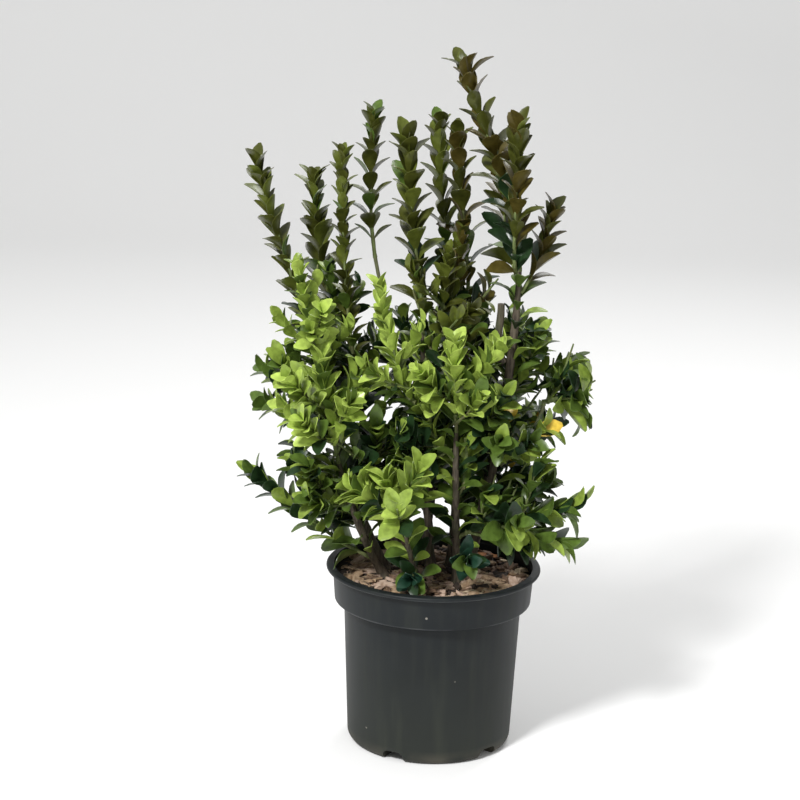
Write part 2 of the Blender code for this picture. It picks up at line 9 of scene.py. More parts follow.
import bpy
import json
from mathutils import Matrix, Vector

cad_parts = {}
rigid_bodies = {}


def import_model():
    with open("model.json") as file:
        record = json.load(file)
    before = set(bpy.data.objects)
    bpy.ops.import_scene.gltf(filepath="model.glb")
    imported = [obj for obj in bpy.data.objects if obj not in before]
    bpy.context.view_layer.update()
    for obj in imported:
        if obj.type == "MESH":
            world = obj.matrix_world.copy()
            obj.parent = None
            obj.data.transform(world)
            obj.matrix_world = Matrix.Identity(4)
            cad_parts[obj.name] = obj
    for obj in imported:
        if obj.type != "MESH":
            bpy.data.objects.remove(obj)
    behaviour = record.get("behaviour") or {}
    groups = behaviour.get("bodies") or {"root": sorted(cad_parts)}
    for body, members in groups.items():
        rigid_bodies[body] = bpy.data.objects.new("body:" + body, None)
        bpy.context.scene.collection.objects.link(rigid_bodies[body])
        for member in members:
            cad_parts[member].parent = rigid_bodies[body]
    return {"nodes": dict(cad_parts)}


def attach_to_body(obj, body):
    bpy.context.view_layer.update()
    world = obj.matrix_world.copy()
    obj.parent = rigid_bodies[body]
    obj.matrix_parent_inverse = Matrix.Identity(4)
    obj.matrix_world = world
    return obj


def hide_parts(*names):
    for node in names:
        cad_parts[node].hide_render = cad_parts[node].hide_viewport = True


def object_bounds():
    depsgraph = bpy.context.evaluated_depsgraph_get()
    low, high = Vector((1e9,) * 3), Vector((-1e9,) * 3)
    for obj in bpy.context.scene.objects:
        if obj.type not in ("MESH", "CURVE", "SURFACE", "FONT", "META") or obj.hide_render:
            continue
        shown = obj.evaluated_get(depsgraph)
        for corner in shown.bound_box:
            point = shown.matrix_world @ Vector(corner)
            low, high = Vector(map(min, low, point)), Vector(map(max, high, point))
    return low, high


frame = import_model()
cad_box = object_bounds()
print("the solids reach from", cad_box[0], "to", cad_box[1])

# %% Modules
import json
import math
import random
from collections import namedtuple

import bmesh
import bpy
from mathutils import Matrix, Vector, noise
from mathutils.bvhtree import BVHTree
from mathutils.kdtree import KDTree

UP = Vector((0.0, 0.0, 1.0))


# %% [markdown]
# ## The camera
#
# The photograph looks slightly down on the plant from a little over two metres. A camera can be
# turned by hand until it fits, but here its place, pitch and roll are given as numbers worked out
# from the pot: the ovals of the lip, collar and base gave the pitch, and the pot's leaning axis
# gave the roll.

# %% Camera
IMAGE_PIXELS = 800
FOCAL_PIXELS = 2347.0
POT_AXIS_COLUMN = 439.9  # where the pot's axis crosses the photograph's middle row
SENSOR = 36.0
CAMERA_PLACE = Vector((0.0, -2.4, 0.992))
CAMERA_PITCH = math.radians(14.39)
CAMERA_ROLL = math.radians(1.58)


def set_camera():
    yaw = math.atan((POT_AXIS_COLUMN - IMAGE_PIXELS / 2) / FOCAL_PIXELS)
    flat = math.cos(CAMERA_PITCH)
    ahead = Vector((-math.sin(yaw) * flat, math.cos(yaw) * flat, -math.sin(CAMERA_PITCH)))
    level = ahead.cross(UP).normalized()
    above = level.cross(ahead)
    right = level * math.cos(CAMERA_ROLL) + above * math.sin(CAMERA_ROLL)
    up = above * math.cos(CAMERA_ROLL) - level * math.sin(CAMERA_ROLL)
    data = bpy.data.cameras.new("camera")
    data.sensor_width = SENSOR
    data.lens = FOCAL_PIXELS / IMAGE_PIXELS * SENSOR
    camera = bpy.data.objects.new("camera", data)
    turn = Matrix((right, up, -ahead)).transposed()
    camera.matrix_world = Matrix.Translation(CAMERA_PLACE) @ turn.to_4x4()
    bpy.context.scene.collection.objects.link(camera)
    bpy.context.scene.camera = camera
    return camera


camera = set_camera()
print("lens", round(camera.data.lens, 1), "mm")


# %% [markdown]
# ## The studio
#
# The plant stands on a plain pale floor that curves up behind it, so no corner shows. One broad
# light from the upper left gives the leaves their gloss, a weaker one fills the right side, and
# the pale surroundings light the rest.

# %% Floor and lights
FLOOR_COLOUR = (0.92, 0.92, 0.915)
FLOOR_HALF = 4.0
FLOOR_SWEEP = 1.2


def deselect():
    bpy.ops.object.select_all(action="DESELECT")


def select_where(piece, test):
    """In edit mode, selects the vertices whose place passes the test."""
    bpy.ops.mesh.select_mode(type="VERT")
    shape = bmesh.from_edit_mesh(piece.data)
    for vert in shape.verts:
        vert.select = test(vert.co)
    shape.select_flush_mode()
    bmesh.update_edit_mesh(piece.data)


def make_floor():
    """A plane whose far edge is extruded upwards, with the fold between bevelled round."""
    deselect()
    bpy.ops.mesh.primitive_plane_add(size=2 * FLOOR_HALF)
    floor = bpy.context.active_object
    floor.name = "floor"
    bpy.ops.object.mode_set(mode="EDIT")
    select_where(floor, lambda place: place.y > FLOOR_HALF * 0.9)
    bpy.ops.mesh.extrude_region_move(TRANSFORM_OT_translate={"value": (0.0, 0.0, FLOOR_HALF)})
    select_where(floor, lambda place: place.y > FLOOR_HALF * 0.9 and place.z < 0.01)
    bpy.ops.mesh.bevel(offset=FLOOR_SWEEP, segments=16, affect="EDGES")
    bpy.ops.object.mode_set(mode="OBJECT")
    bpy.ops.object.shade_smooth()
    finish = bpy.data.materials.new("floor paper")
    finish.use_nodes = True
    shader = finish.node_tree.nodes["Principled BSDF"]
    shader.inputs["Base Color"].default_value = (*FLOOR_COLOUR, 1.0)
    shader.inputs["Roughness"].default_value = 0.9
    floor.data.materials.append(finish)
    return floor


def add_light(name, place, size, power):
    data = bpy.data.lights.new(name, "AREA")
    data.shape = "DISK"
    data.size = size
    data.energy = power
    light = bpy.data.objects.new(name, data)
    light.location = place
    aim = Vector((0.0, 0.0, 0.35)) - Vector(place)
    light.rotation_euler = aim.to_track_quat("-Z", "Y").to_euler()
    bpy.context.scene.collection.objects.link(light)


make_floor()
add_light("key", (-1.1, -1.9, 2.3), 0.6, 92.0)
add_light("fill", (1.9, -1.7, 1.3), 1.8, 7.0)
add_light("back", (0.7, 1.6, 2.2), 1.2, 24.0)
bpy.context.scene.view_settings.view_transform = "Standard"
world = bpy.data.worlds.new("studio")
bpy.context.scene.world = world
world.use_nodes = True
world.node_tree.nodes["Background"].inputs["Color"].default_value = (1.0, 1.0, 1.0, 1.0)
world.node_tree.nodes["Background"].inputs["Strength"].default_value = 0.48
print("three lights over a pale floor")


# %% [markdown]
# ## Shader maths
#
# A finish is a small network of nodes. Adding and linking each by hand is slow to read, so a
# value in a finish is wrapped in a class whose plus and times add the Math nodes. The
# finish itself has one method that adds any other node, with its settings and its inputs.


# %% Values and finishes
class Value:
    """A number that changes over a surface. Arithmetic on it adds Math nodes."""

    def __init__(self, finish, socket):
        self.finish = finish
        self.socket = socket

    def math(self, operation, first, second):
        settings = {"operation": operation}
        return self.finish.node("ShaderNodeMath", settings, {0: first, 1: second})

    def __add__(self, other):
        return self.math("ADD", self, other)

    __radd__ = __add__

    def __mul__(self, other):
        return self.math("MULTIPLY", self, other)

    __rmul__ = __mul__

    def between(self, low, high):
        """0 at low and below, 1 at high and above."""
        limits = {"Value": self, "From Min": low, "From Max": high}
        return self.finish.node("ShaderNodeMapRange", {"clamp": True}, limits)


class Finish:
    """A material, its Principled shader and the one way to add nodes to it."""

    def __init__(self, name, colour, roughness):
        self.material = bpy.data.materials.new(name)
        self.material.use_nodes = True
        self.tree = self.material.node_tree
        self.shader = self.tree.nodes["Principled BSDF"]
        self.set("Base Color", (*colour, 1.0))
        self.set("Roughness", roughness)

    def node(self, kind, settings, sockets, output=0):
        made = self.tree.nodes.new(kind)
        for name, setting in settings.items():
            setattr(made, name, setting)
        for name, value in sockets.items():
            self.feed(made.inputs[name], value)
        return Value(self, made.outputs[output])

    def feed(self, socket, value):
        if isinstance(value, Value):
            self.tree.links.new(value.socket, socket)
        else:
            socket.default_value = value

    def set(self, name, value):
        self.feed(self.shader.inputs[name], value)

    def place(self):
        return self.node("ShaderNodeTexCoord", {}, {}, "Object")

    def height(self):
        return self.node("ShaderNodeSeparateXYZ", {}, {0: self.place()}, "Z")

    def stretched(self, scale):
        sockets = {"Vector": self.place(), "Scale": scale}
        return self.node("ShaderNodeMapping", {}, sockets)

    def grain(self, place, scale, detail):
        sockets = {"Vector": place, "Scale": scale, "Detail": detail}
        return self.node("ShaderNodeTexNoise", {}, sockets, "Fac")

    def blend(self, mask, first, second):
        """One colour where the mask is 0 and another where it is 1."""
        made = self.tree.nodes.new("ShaderNodeMix")
        made.data_type = "RGBA"
        colours = [s for s in made.inputs if s.type == "RGBA"]
        self.feed(made.inputs[0], mask)
        self.feed(colours[0], first if isinstance(first, Value) else (*first, 1.0))
        self.feed(colours[1], second if isinstance(second, Value) else (*second, 1.0))
        return Value(self, [s for s in made.outputs if s.type == "RGBA"][0])

    def bump(self, height, strength, distance):
        sockets = {"Height": height, "Strength": strength, "Distance": distance}
        self.set("Normal", self.node("ShaderNodeBump", {}, sockets))


# %% [markdown]
# ## Finish of the pot
#
# Nursery pots are moulded from recycled black plastic. The photograph shows a dull bluish black
# above, a dusty greenish film below with faint upright streaks, a light line along the lip and the
# collar's edge, painted on here as a highlight in patches, and a few pale specks of dried splash.

# %% Pot plastic
# The painted highlight lies in bands round two heights: the lip and the collar's edge.
LIP_MIDDLE = 0.1915
COLLAR_EDGE = 0.1580
HIGHLIGHT_WIDTH = 0.0016


def pot_finish():
    finish = Finish("pot plastic", (0.014, 0.016, 0.018), 0.5)
    height = finish.height()
    streaks = finish.grain(finish.stretched((60.0, 60.0, 5.0)), 1.4, 4.0)
    blotches = finish.grain(finish.place(), 22.0, 5.0)
    dust = height.between(0.150, 0.0) * 0.5 + (streaks.between(0.45, 0.75) * 0.30)
    foot = height.between(0.016, 0.0) * blotches.between(0.35, 0.6) * 0.5
    black = finish.blend(blotches, (0.006, 0.008, 0.009), (0.013, 0.016, 0.018))
    dusty = finish.blend(dust, black, (0.036, 0.040, 0.031))
    soiled = finish.blend(foot, dusty, (0.13, 0.115, 0.085))
    # Painted highlight: a pale bluish band along the lip and the collar's edge, broken into patches.
    edges = 0.0
    for level in (LIP_MIDDLE, COLLAR_EDGE):
        below = height.between(level - HIGHLIGHT_WIDTH, level)
        above = height.between(level + HIGHLIGHT_WIDTH, level)
        edges = below * above + edges
    painted_highlight = edges * blotches.between(0.4, 0.6) * 0.45
    with_highlight = finish.blend(painted_highlight, soiled, (0.11, 0.115, 0.12))
    cells = {"Vector": finish.place(), "Scale": 85.0}
    near = finish.node("ShaderNodeTexVoronoi", {}, cells, "Distance")
    rare = finish.grain(finish.place(), 55.0, 2.0).between(0.64, 0.68)
    specks = near.between(0.13, 0.08) * rare * 0.7
    finish.set("Base Color", finish.blend(specks, with_highlight, (0.30, 0.28, 0.24)))
    finish.set("Roughness", 0.46 + dust * 0.3 + specks * 0.2)
    finish.set("Specular IOR Level", 0.2)
    fine = finish.grain(finish.place(), 420.0, 3.0)
    finish.bump(streaks * 0.5 + fine * 0.3, 0.35, 0.0004)
    return finish.material


POT_PLASTIC = pot_finish()
print("pot plastic has", len(POT_PLASTIC.node_tree.nodes), "nodes")


# %% [markdown]
# ## The pot
#
# The pot is a thin turned shell with a rolled lip, a stepped collar and five moulded notches in
# its foot. Turning it as by hand: a ring is extruded upwards and resized from level to level of
# its outline, so each level is a named size of the real pot. A second, smaller turned shape less
# a liner round each notch is taken out of the first, and the wall that is left is even.

# %% Pot sizes
GAP = 0.0003
GROUND = 0.184
POT_TURNS = 144
POT_HEIGHT = 0.196
POT_WALL = 0.0016
LIP_RADIUS = 0.115
LIP_THICKNESS = 0.0046
COLLAR_RADIUS_TOP = 0.1083
COLLAR_RADIUS_LOW = 0.1055
COLLAR_FOOT = 0.1575
STEP_FALL = 0.0010
STEP_ROUND = 0.0012
BODY_RADIUS_TOP = 0.0953
BODY_RADIUS_LOW = 0.0886
BASE_CORNER = 0.0090
NOTCHES = 5
FIRST_NOTCH = -25.0
NOTCH_WIDTH = 0.024
NOTCH_HEIGHT = 0.0112
NOTCH_DEPTH_RADIUS = 0.064
NOTCH_ROUND = 0.0065
DRAIN_WIDTH = 0.010
DRAIN_LOW = 0.0028
DRAIN_HEIGHT = 0.0080
DRAIN_ROUND = 0.0020
AXIS_RADIUS = 0.001


def arc(centre, radius, first, last, steps):
    """Points round a centre, from the first angle to the last, in degrees."""
    for step in range(steps + 1):
        angle = math.radians(first + (last - first) * step / steps)
        yield centre[0] + radius * math.cos(angle), centre[1] + radius * math.sin(angle)


def collar_radius(height, inset):
    climb = (COLLAR_RADIUS_TOP - COLLAR_RADIUS_LOW) / (POT_HEIGHT - COLLAR_FOOT)
    return COLLAR_RADIUS_LOW - inset + climb * (height - COLLAR_FOOT)


def wall_outline(inset, top):
    corner = (BODY_RADIUS_LOW - BASE_CORNER, BASE_CORNER)
    step = COLLAR_FOOT + inset
    edge = (collar_radius(step, inset) - STEP_ROUND, step + STEP_ROUND)
    return [
        (AXIS_RADIUS, inset),
        *arc(corner, BASE_CORNER - inset, -90.0, 0.0, 8),
        (BODY_RADIUS_TOP - inset, step - STEP_FALL),
        *arc(edge, STEP_ROUND, -80.0, 0.0, 4),
        (collar_radius(top, inset), top),
    ]


def turned(name, outline):
    """A ring extruded and resized from point to point of an outline, with both ends filled."""
    deselect()
    radius, level = outline[0]
    bpy.ops.mesh.primitive_circle_add(
        vertices=POT_TURNS, radius=radius, fill_type="NGON", location=(0.0, 0.0, level)
    )
    piece = bpy.context.active_object
    piece.name = name
    bpy.ops.object.transform_apply(location=True, rotation=True, scale=True)
    bpy.ops.object.mode_set(mode="EDIT")
    bpy.ops.mesh.delete(type="ONLY_FACE")
    bpy.ops.mesh.select_all(action="SELECT")
    for (near, low), (far, high) in zip(outline, outline[1:]):
        rise = {"value": (0.0, 0.0, high - low)}
        bpy.ops.mesh.extrude_region_move(TRANSFORM_OT_translate=rise)
        grow = far / near
        bpy.ops.transform.resize(value=(grow, grow, 1.0), center_override=(0.0, 0.0, high))
    bpy.ops.mesh.edge_face_add()
    select_where(piece, lambda place: place.xy.length < radius * 1.01 and place.z < level + GAP)
    bpy.ops.mesh.edge_face_add()
    bpy.ops.mesh.select_all(action="SELECT")
    bpy.ops.mesh.normals_make_consistent(inside=False)
    bpy.ops.object.mode_set(mode="OBJECT")
    return piece


def notch_boxes(name, width, low, high, radius, rounding):
    """A box with two rounded upper edges, copied round the pot."""
    length = LIP_RADIUS - radius
    deselect()
    bpy.ops.mesh.primitive_cube_add(size=1.0)
    first = bpy.context.active_object
    first.scale = (width, length, high - low)
    bpy.ops.object.transform_apply(scale=True)
    bpy.ops.object.mode_set(mode="EDIT")
    bpy.ops.mesh.select_all(action="DESELECT")
    bpy.ops.mesh.select_mode(type="EDGE")
    shape = bmesh.from_edit_mesh(first.data)
    for edge in shape.edges:
        flat = abs(edge.verts[0].co.x - edge.verts[1].co.x) < GAP
        edge.select = flat and all(end.co.z > 0.0 for end in edge.verts)
    bmesh.update_edit_mesh(first.data)
    bpy.ops.mesh.bevel(offset=rounding, segments=6, affect="EDGES")
    bpy.ops.object.mode_set(mode="OBJECT")
    first.location = (0.0, -radius - length / 2, (low + high) / 2)
    bpy.ops.object.transform_apply(location=True)
    copies = []
    for notch in range(NOTCHES):
        copy = first.copy()
        copy.data = first.data.copy()
        turn = math.radians(FIRST_NOTCH + 360.0 * notch / NOTCHES)
        copy.data.transform(Matrix.Rotation(turn, 4, "Z"))
        bpy.context.scene.collection.objects.link(copy)
        copies.append(copy)
    bpy.data.objects.remove(first)
    deselect()
    for copy in copies:
        copy.select_set(True)
    bpy.context.view_layer.objects.active = copies[0]
    bpy.ops.object.join()
    copies[0].name = name
    return copies[0]


def take_out(piece, cutter):
    """Takes the cutter's shape out of the piece, and then the cutter away."""
    deselect()
    bpy.context.view_layer.objects.active = piece
    modifier = piece.modifiers.new(cutter.name, "BOOLEAN")
    modifier.operation = "DIFFERENCE"
    modifier.object = cutter
    bpy.ops.object.modifier_apply(modifier=modifier.name)
    bpy.data.objects.remove(cutter)


def notch_cutter(name, grow):
    radius = NOTCH_DEPTH_RADIUS - grow
    top = NOTCH_HEIGHT + grow
    return notch_boxes(name, NOTCH_WIDTH + 2 * grow, -POT_WALL, top, radius, NOTCH_ROUND + grow)


# %% Dress a piece
def dress(piece, finishes, nodes, smooth_angle):
    """Gives a piece its finishes, its shading and its body, and hides the solids that it stands for."""
    for finish in finishes:
        piece.data.materials.append(finish)
    deselect()
    piece.select_set(True)
    bpy.context.view_layer.objects.active = piece
    bpy.ops.object.shade_smooth_by_angle(angle=math.radians(smooth_angle))
    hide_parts(*nodes)
    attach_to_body(piece, "root")
    return piece


# %% Turn the pot
def make_pot():
    lip_round = LIP_THICKNESS / 2
    lip_centre = (LIP_RADIUS - lip_round, POT_HEIGHT - lip_round)
    outline = wall_outline(0.0, POT_HEIGHT - LIP_THICKNESS)
    outline += list(arc(lip_centre, lip_round, -90.0, 90.0, 10))
    outline.append((AXIS_RADIUS, POT_HEIGHT))
    pot = turned("pot_shell", outline)
    above = POT_HEIGHT + LIP_THICKNESS
    cavity = turned("cavity", wall_outline(POT_WALL, above) + [(AXIS_RADIUS, above)])
    take_out(cavity, notch_cutter("notch_liner", POT_WALL))
    take_out(pot, cavity)
    take_out(pot, notch_cutter("notch", 0.0))
    drain = NOTCH_DEPTH_RADIUS - 2 * POT_WALL
    holes = notch_boxes("drain", DRAIN_WIDTH, DRAIN_LOW, DRAIN_HEIGHT, drain, DRAIN_ROUND)
    take_out(pot, holes)
    return dress(pot, [POT_PLASTIC], ["pot"], 35.0)


pot = make_pot()
print("pot:", len(pot.data.polygons), "faces")


# %% [markdown]
# ## Soil and the bed under the mulch
#
# The compost fills the pot and shows only through the drain holes and between the chips. Its
# solids already have the right shape, so they stay, and get a crumbly dark finish.


# %% Soil and bed
def crumbly_finish(name, dark, light, scale):
    finish = Finish(name, dark, 0.95)
    crumbs = finish.grain(finish.place(), scale, 8.0)
    lumps = finish.grain(finish.place(), scale * 0.3, 4.0)
    finish.set("Base Color", finish.blend(crumbs * lumps * 2.0, dark, light))
    finish.bump(crumbs + lumps, 0.9, 0.002)
    return finish.material


SOIL = crumbly_finish("potting soil", (0.010, 0.007, 0.005), (0.060, 0.040, 0.026), 260.0)
BED = crumbly_finish("mulch bed", (0.006, 0.004, 0.003), (0.045, 0.029, 0.018), 180.0)
for node_name, material in (("soil", SOIL), ("mulch", BED)):
    node = frame["nodes"][node_name]
    for index in range(max(1, len(node.material_slots))):
        node.material_slots[index].material = material
print("soil and bed finished")


# %% [markdown]
# ## Bark mulch
#
# The surface is covered with chips of bark, 8 to 26 mm long, tan, pinkish, straw and dark brown,
# lying on each other at slight angles. Chips could be thrown down by a physics run, but a seeded
# rule that lays them in three layers is quicker and gives the same bed each time. A few chip
# shapes are modelled from a block, and each copy is turned and stretched by its own draw.

# %% Chip finishes
CHIP_TONES = {
    "tan": ((0.42, 0.30, 0.19), (0.22, 0.14, 0.08)),
    "pink": ((0.52, 0.39, 0.30), (0.32, 0.21, 0.15)),
    "brown": ((0.18, 0.11, 0.065), (0.07, 0.040, 0.024)),
    "straw": ((0.60, 0.49, 0.35), (0.38, 0.28, 0.17)),
    "dark": ((0.050, 0.031, 0.021), (0.018, 0.012, 0.009)),
    "orange": ((0.46, 0.20, 0.07), (0.30, 0.11, 0.04)),
}


def chip_finish(name, pale, dark):
    finish = Finish("chip " + name, pale, 0.85)
    fibres = finish.grain(finish.stretched((240.0, 90.0, 320.0)), 1.0, 6.0)
    finish.set("Base Color", finish.blend(fibres.between(0.35, 0.65), dark, pale))
    finish.bump(fibres, 0.8, 0.0012)
    return finish.material


CHIP_FINISHES = [chip_finish(name, *pair) for name, pair in CHIP_TONES.items()]
CHIP_WEIGHTS = [26, 22, 22, 12, 16, 2]

# %% Chip shapes
CHIP_SHAPES = 7
CHIP_ROUGHNESS = 0.16
Shape = namedtuple("Shape", "corners faces")


def shape_of(piece):
    """The corners and faces of a finished shape, which is then removed."""
    shape = Shape(
        [vert.co.copy() for vert in piece.data.vertices],
        [tuple(face.vertices) for face in piece.data.polygons],
    )
    bpy.data.objects.remove(piece)
    return shape


def make_chip_shape(number):
    """A flat block, subdivided once, with its corners cut back and every point moved a little."""
    deselect()
    bpy.ops.mesh.primitive_cube_add(size=1.0)
    chip = bpy.context.active_object
    bpy.ops.object.mode_set(mode="EDIT")
    bpy.ops.mesh.subdivide(number_cuts=1, smoothness=0.25)
    bpy.ops.object.mode_set(mode="OBJECT")
    dice = random.Random(number)
    for vert in chip.data.vertices:
        ends = 1.0 - 0.45 * abs(vert.co.x) * dice.uniform(0.2, 1.0)
        vert.co.y *= ends
        vert.co.z += 0.35 * math.sin(vert.co.x * 3.0 + number)
        vert.co += Vector([dice.uniform(-1.0, 1.0) * CHIP_ROUGHNESS for _ in range(3)])
    return shape_of(chip)


chip_shapes = [make_chip_shape(number) for number in range(CHIP_SHAPES)]

# %% Lay the chips
CHIPS = 470
CHIP_LAYERS = 3
CHIP_LENGTH = (0.009, 0.026)
CHIP_WIDTH = (0.35, 0.65)
CHIP_DEPTH = (0.0018, 0.0042)


def joined_piece(name, shapes, tones):
    """One mesh of many placed shapes, with a finish number for each."""
    corners, faces, finish_of_face = [], [], []
    for shape, tone in zip(shapes, tones):
        first = len(corners)
        corners += shape.corners
        faces += [tuple(first + corner for corner in face) for face in shape.faces]
        finish_of_face += [tone] * len(shape.faces)
    mesh = bpy.data.meshes.new(name)
    mesh.from_pydata(corners, [], faces)
    mesh.polygons.foreach_set("material_index", finish_of_face)
    piece = bpy.data.objects.new(name, mesh)
    bpy.context.scene.collection.objects.link(piece)
    return piece


def lay_chips():
    dice = random.Random("bark mulch")
    reach = collar_radius(GROUND, POT_WALL) - 0.001
    shapes, tones = [], []
    for number in range(CHIPS):
        layer = number * CHIP_LAYERS // CHIPS
        length = dice.uniform(*CHIP_LENGTH) * (1.0 - 0.12 * layer)
        width = length * dice.uniform(*CHIP_WIDTH)
        depth = dice.uniform(*CHIP_DEPTH)
        distance = (reach - length * 0.5) * math.sqrt(dice.random())
        round_pot = dice.uniform(0.0, math.tau)
        level = GROUND - 0.0030 + 0.0016 * layer + dice.uniform(0.0, 0.0015)
        centre = Vector((distance * math.cos(round_pot), distance * math.sin(round_pot), level))
        tilt = math.radians(dice.uniform(-16.0, 16.0))
        turn = Matrix.Rotation(dice.uniform(0.0, math.tau), 3, "Z") @ Matrix.Rotation(tilt, 3, "Y")
        turn = turn @ Matrix.Rotation(math.radians(dice.uniform(-22.0, 22.0)), 3, "X")
        size = Matrix.Diagonal((length, width, depth))
        shape = chip_shapes[dice.randrange(CHIP_SHAPES)]
        corners = [centre + turn @ (size @ corner) for corner in shape.corners]
        shapes.append(Shape(corners, shape.faces))
        tones.append(dice.choices(range(len(CHIP_FINISHES)), CHIP_WEIGHTS)[0])
    piece = joined_piece("bark_chips", shapes, tones)
    return dress(piece, CHIP_FINISHES, [], 30.0)


chips = lay_chips()
print("chips:", CHIPS, "with", len(chips.data.polygons), "faces")


# %% [markdown]
# ## The plan of the plant
#
# These rows are the plant's skeleton, the same as in the solids: ten woody stems, two thin boughs
# and a pruned stub, and a row for each spire or spray of foliage with its tip, leaf length and
# pitch. A path is one smooth curve from a foot to a tip that turns upright on its way.

# %% Sizes of stems, twigs and leaves
LIMB_STEPS = 6
FLARE = 0.75
FLARE_HEIGHT = 0.007
TWIG_STEP = 0.036
TWIG_RADIUS = 0.0017
TWIG_TIP_RADIUS = 0.0009
SIDE_TWIG_LENGTH = 0.050  # longer than in the solids, whose larger leaves reach further
SIDE_TWIG_SPREAD = math.radians(52.0)
SIDE_TWIG_REACH = 0.62  # the share of the stem, from its foot, that side twigs grow from
GOLDEN_ANGLE = math.radians(137.5)
LEAF_WIDTH = 0.60  # as a share of the leaf's length, like the four below
LEAF_FOLD = 0.10
LEAF_DROOP = 0.12
LEAF_WIDEST = 0.64
TIP_LEAF = 0.90
LEAF_THICKNESS = 0.0014
TIP_SET = 0.0015  # how far below the twig's end its last leaves sit
LEAF_FACES = ((0, 3, 4), (1, 4, 3), (0, 4, 2), (1, 2, 4), (0, 5, 3), (1, 3, 5), (0, 2, 5), (1, 5, 2))
SPREAD_TIP = math.radians(32.0)
PITCH_SHRINK = 0.35
LEAF_TRIES = 6
SHARED_SPACE = 0.012  # how far past the midway to the next stem a leaf may reach
AXIS_STEP = 0.006
FOOT_PULL = 0.30  # how far a path keeps the way it starts, as a share of its rise
TIP_PULL = 0.36  # how far back from its tip it already heads the way it ends
print("a side twig is", round(SIDE_TWIG_LENGTH * 1000), "mm long")

# %% Rows of the plant
Stem = namedtuple("Stem", "name foot tip lean radius tip_radius")
Bough = namedtuple("Bough", "name parent at tip lean radius tip_radius")
Shoot = namedtuple("Shoot", "name parent at tip lean leaf pitch twigs")

STEMS = (
    Stem("stem_right", (0.036, 0.004), (0.080, 0.000, 0.522), 0.10, 0.0062, 0.0042),
    Stem("stem_front_right", (0.026, -0.022), (0.019, -0.050, 0.360), 0.50, 0.0046, 0.0030),
    Stem("stem_front_left", (-0.052, -0.012), (-0.103, -0.045, 0.321), 0.75, 0.0046, 0.0030),
    Stem("stem_front_low", (-0.010, -0.046), (-0.030, -0.072, 0.252), 0.60, 0.0030, 0.0023),
    Stem("stem_left", (-0.050, 0.012), (-0.130, 0.000, 0.417), 0.70, 0.0042, 0.0027),
    Stem("stem_middle_left", (-0.026, -0.002), (-0.087, 0.012, 0.388), 0.55, 0.0052, 0.0034),
    Stem("stem_middle", (-0.002, 0.008), (-0.019, 0.000, 0.453), 0.50, 0.0050, 0.0030),
    Stem("stem_back", (-0.012, 0.036), (0.008, 0.058, 0.450), 0.50, 0.0046, 0.0030),
    Stem("stem_back_right", (0.018, 0.028), (0.028, 0.036, 0.470), 0.50, 0.0044, 0.0028),
    Stem("stem_back_left", (-0.040, 0.040), (-0.108, 0.048, 0.410), 0.60, 0.0042, 0.0027),
)

BOUGHS = (
    Bough("bough_right", "stem_right", 0.37, (0.112, 0.012, 0.376), 0.20, 0.0026, 0.0020),
    Bough("bough_slim", "stem_back", 0.55, (-0.073, 0.052, 0.522), 0.60, 0.0024, 0.0017),
    Bough("stub_right", "stem_right", 0.70, (0.062, -0.004, 0.484), 0.60, 0.0042, 0.0038),
)

